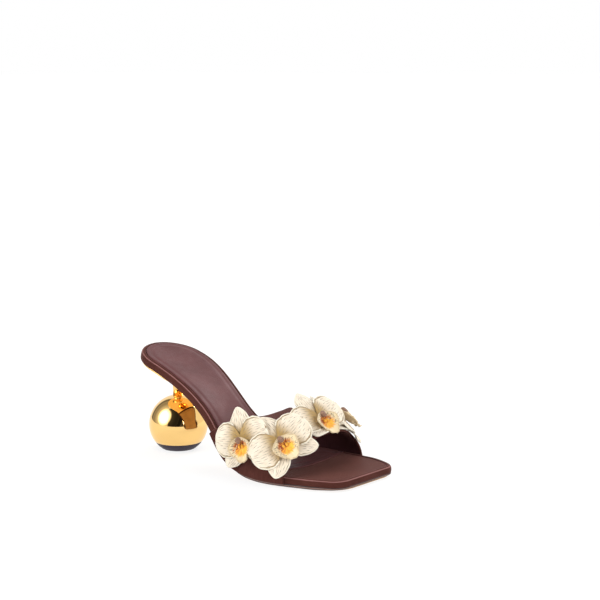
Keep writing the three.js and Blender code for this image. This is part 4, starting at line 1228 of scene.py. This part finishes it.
def lip_threads(build, sheet, normals, rng):
    """Rust threads over the upper throat, and fine dark ones all round the rim."""
    for count, widest, nearest, furthest, kind in THREADS:
        column = (rng.uniform(0.01, widest, count) / math.tau * CUP_AROUND).astype(int)
        row = rng.integers(nearest, furthest, count)
        up = normals[row, column]
        ways = sheet[row + 1, column] - sheet[row - 1, column]
        length = rng.uniform(*THREAD_LONG, count)
        spots = sheet[row, column] + up * LEAF / 2
        dashes(build, spots, ways, up, length, STITCH_WIDE * 1.4, STITCH_RISE, kind)


def make_lip(node, size, axes, at, rng):
    build = Build()
    sheet, normals = lip_cup(build, size, axes, at)
    lobe = lip_lobe(build, size, axes, at)
    lip_beads(build, size, (axes, at))
    lip_threads(build, sheet, normals, rng)
    materials = [lip_cloth, lip_back, column_cloth, callus_cloth, rust_thread, vein_thread]
    piece = build.finish(f"{node}_cloth", materials)
    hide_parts(node)
    return [sheet_tree(sheet), sheet_tree(lobe)]


def make_orchids():
    rng = np.random.default_rng(SEED)
    flowers = {f"orchid_{k + 1}": orchid for k, orchid in enumerate(ORCHIDS)}
    placed = {name: [] for name in flowers}
    for name, part in LAYERS:
        orchid = flowers[name]
        axes, at = orchid_frame(orchid)
        size = ORCHID * orchid["size"]
        trees = [tree for other in flowers if other != name for tree in placed[other]]
        node = f"{name}_{part}"
        if part == "lip":
            placed[name] += make_lip(node, size, axes, at, rng)
        else:
            leaves, height, veins = LEAVES[part]
            placed[name] += make_leaves(node, leaves, size, height, axes, at, trees, rng, veins)


make_platform()
make_sock()
make_outsole()
make_ball()
make_lift()
make_stem()
make_band()
make_orchids()

# Stage, light and camera

CAMERA_AT = Vector((841.17, -885.65, 309.54)) * MM
CAMERA_RIGHT = Vector((0.77798997, 0.62825958, -0.00463825))
CAMERA_UP = Vector((-0.09375454, 0.12339217, 0.98791926))
CAMERA_BACK = Vector((0.62124206, -0.76815641, 0.15490006))
SENSOR = 36
LENS = 93.996
FLOOR_REACH = 20


def make_camera():
    data = bpy.data.cameras.new("camera")
    data.sensor_width = SENSOR
    data.lens = LENS
    data.clip_start, data.clip_end = 0.05, 30
    camera = bpy.data.objects.new("camera", data)
    bpy.context.scene.collection.objects.link(camera)
    turn = Matrix((CAMERA_RIGHT, CAMERA_UP, CAMERA_BACK)).transposed()
    camera.matrix_world = Matrix.Translation(CAMERA_AT) @ turn.to_4x4()
    bpy.context.scene.camera = camera


def toward(right, up, back):
    """A direction given along the camera's own axes."""
    return (CAMERA_RIGHT * right + CAMERA_UP * up + CAMERA_BACK * back).normalized()


MIDDLE = Vector((80, 0, 40)) * MM
WINDOW = toward(-0.787, 0.41, 0.462)


def make_light(name, direction, distance, width, height, power):
    data = bpy.data.lights.new(name, "AREA")
    data.shape = "RECTANGLE"
    data.size, data.size_y = width, height
    data.energy = power
    light = bpy.data.objects.new(name, data)
    bpy.context.scene.collection.objects.link(light)
    light.location = MIDDLE + direction * distance
    light.rotation_euler = direction.to_track_quat("Z", "Y").to_euler()
    return light


def make_floor():
    mesh = bpy.data.meshes.new("floor")
    corners = [(x * FLOOR_REACH, y * FLOOR_REACH, 0) for x, y in ((-1, -1), (1, -1), (1, 1), (-1, 1))]
    mesh.from_pydata(corners, [], [(0, 1, 2, 3)])
    paint = Paint("pale floor", (0.22, 0.22, 0.22), 0.85, Specular_IOR_Level=0.1, Emission_Color=(1, 1, 1, 1),
                  Emission_Strength=0.8)
    mesh.materials.append(paint.material)
    floor = bpy.data.objects.new("floor", mesh)
    bpy.context.scene.collection.objects.link(floor)


def make_world():
    """White room with a dark gap in front and a dark-framed window whose middle is bright."""
    world = bpy.data.worlds.new("studio")
    world.use_nodes = True
    nodes = Nodes(world.node_tree)
    step, join = nodes.span, nodes.math
    background = next(n for n in nodes.tree.nodes if n.type == "BACKGROUND")
    background.inputs["Color"].default_value = (1, 1, 1, 1)
    place = nodes.node("ShaderNodeTexCoord").outputs["Generated"]

    def along(axis):
        made = nodes.node("ShaderNodeVectorMath", {"operation": "DOT_PRODUCT"}, Vector=place)
        made.inputs[1].default_value = axis
        return made.outputs["Value"]

    right, back = along(CAMERA_RIGHT), along(CAMERA_BACK)
    dark = join("MULTIPLY", step(back, 0.30, 0.36), step(right, -0.66, -0.60))
    room = join("SUBTRACT", 1.0, join("MULTIPLY", dark, 0.93))
    window = along(WINDOW)
    frame_line = join("MULTIPLY", step(window, 0.24, 0.34), step(window, 0.56, 0.46))
    inside = step(window, 0.46, 0.56)
    fading = join("MULTIPLY", inside, step(window, 0.99, 0.62, 0.0, 0.68))
    room = join("MULTIPLY", room, join("SUBTRACT", 1.0, join("MULTIPLY", frame_line, 0.82)))
    room = join("MULTIPLY", room, join("SUBTRACT", 1.0, fading))
    total = join("ADD", room, step(window, 0.85, 1.0, 0.0, 5.0))
    nodes.feed(background.inputs["Strength"], total)
    bpy.context.scene.world = world


make_camera()
make_floor()
make_world()
make_light("key", toward(0.486, 0.732, -0.485), 1.3, 0.6, 0.4, 8)
make_light("front", toward(0.55, 0.30, 0.78), 1.6, 0.9, 0.9, 16)
bpy.context.scene.view_settings.view_transform = "Standard"
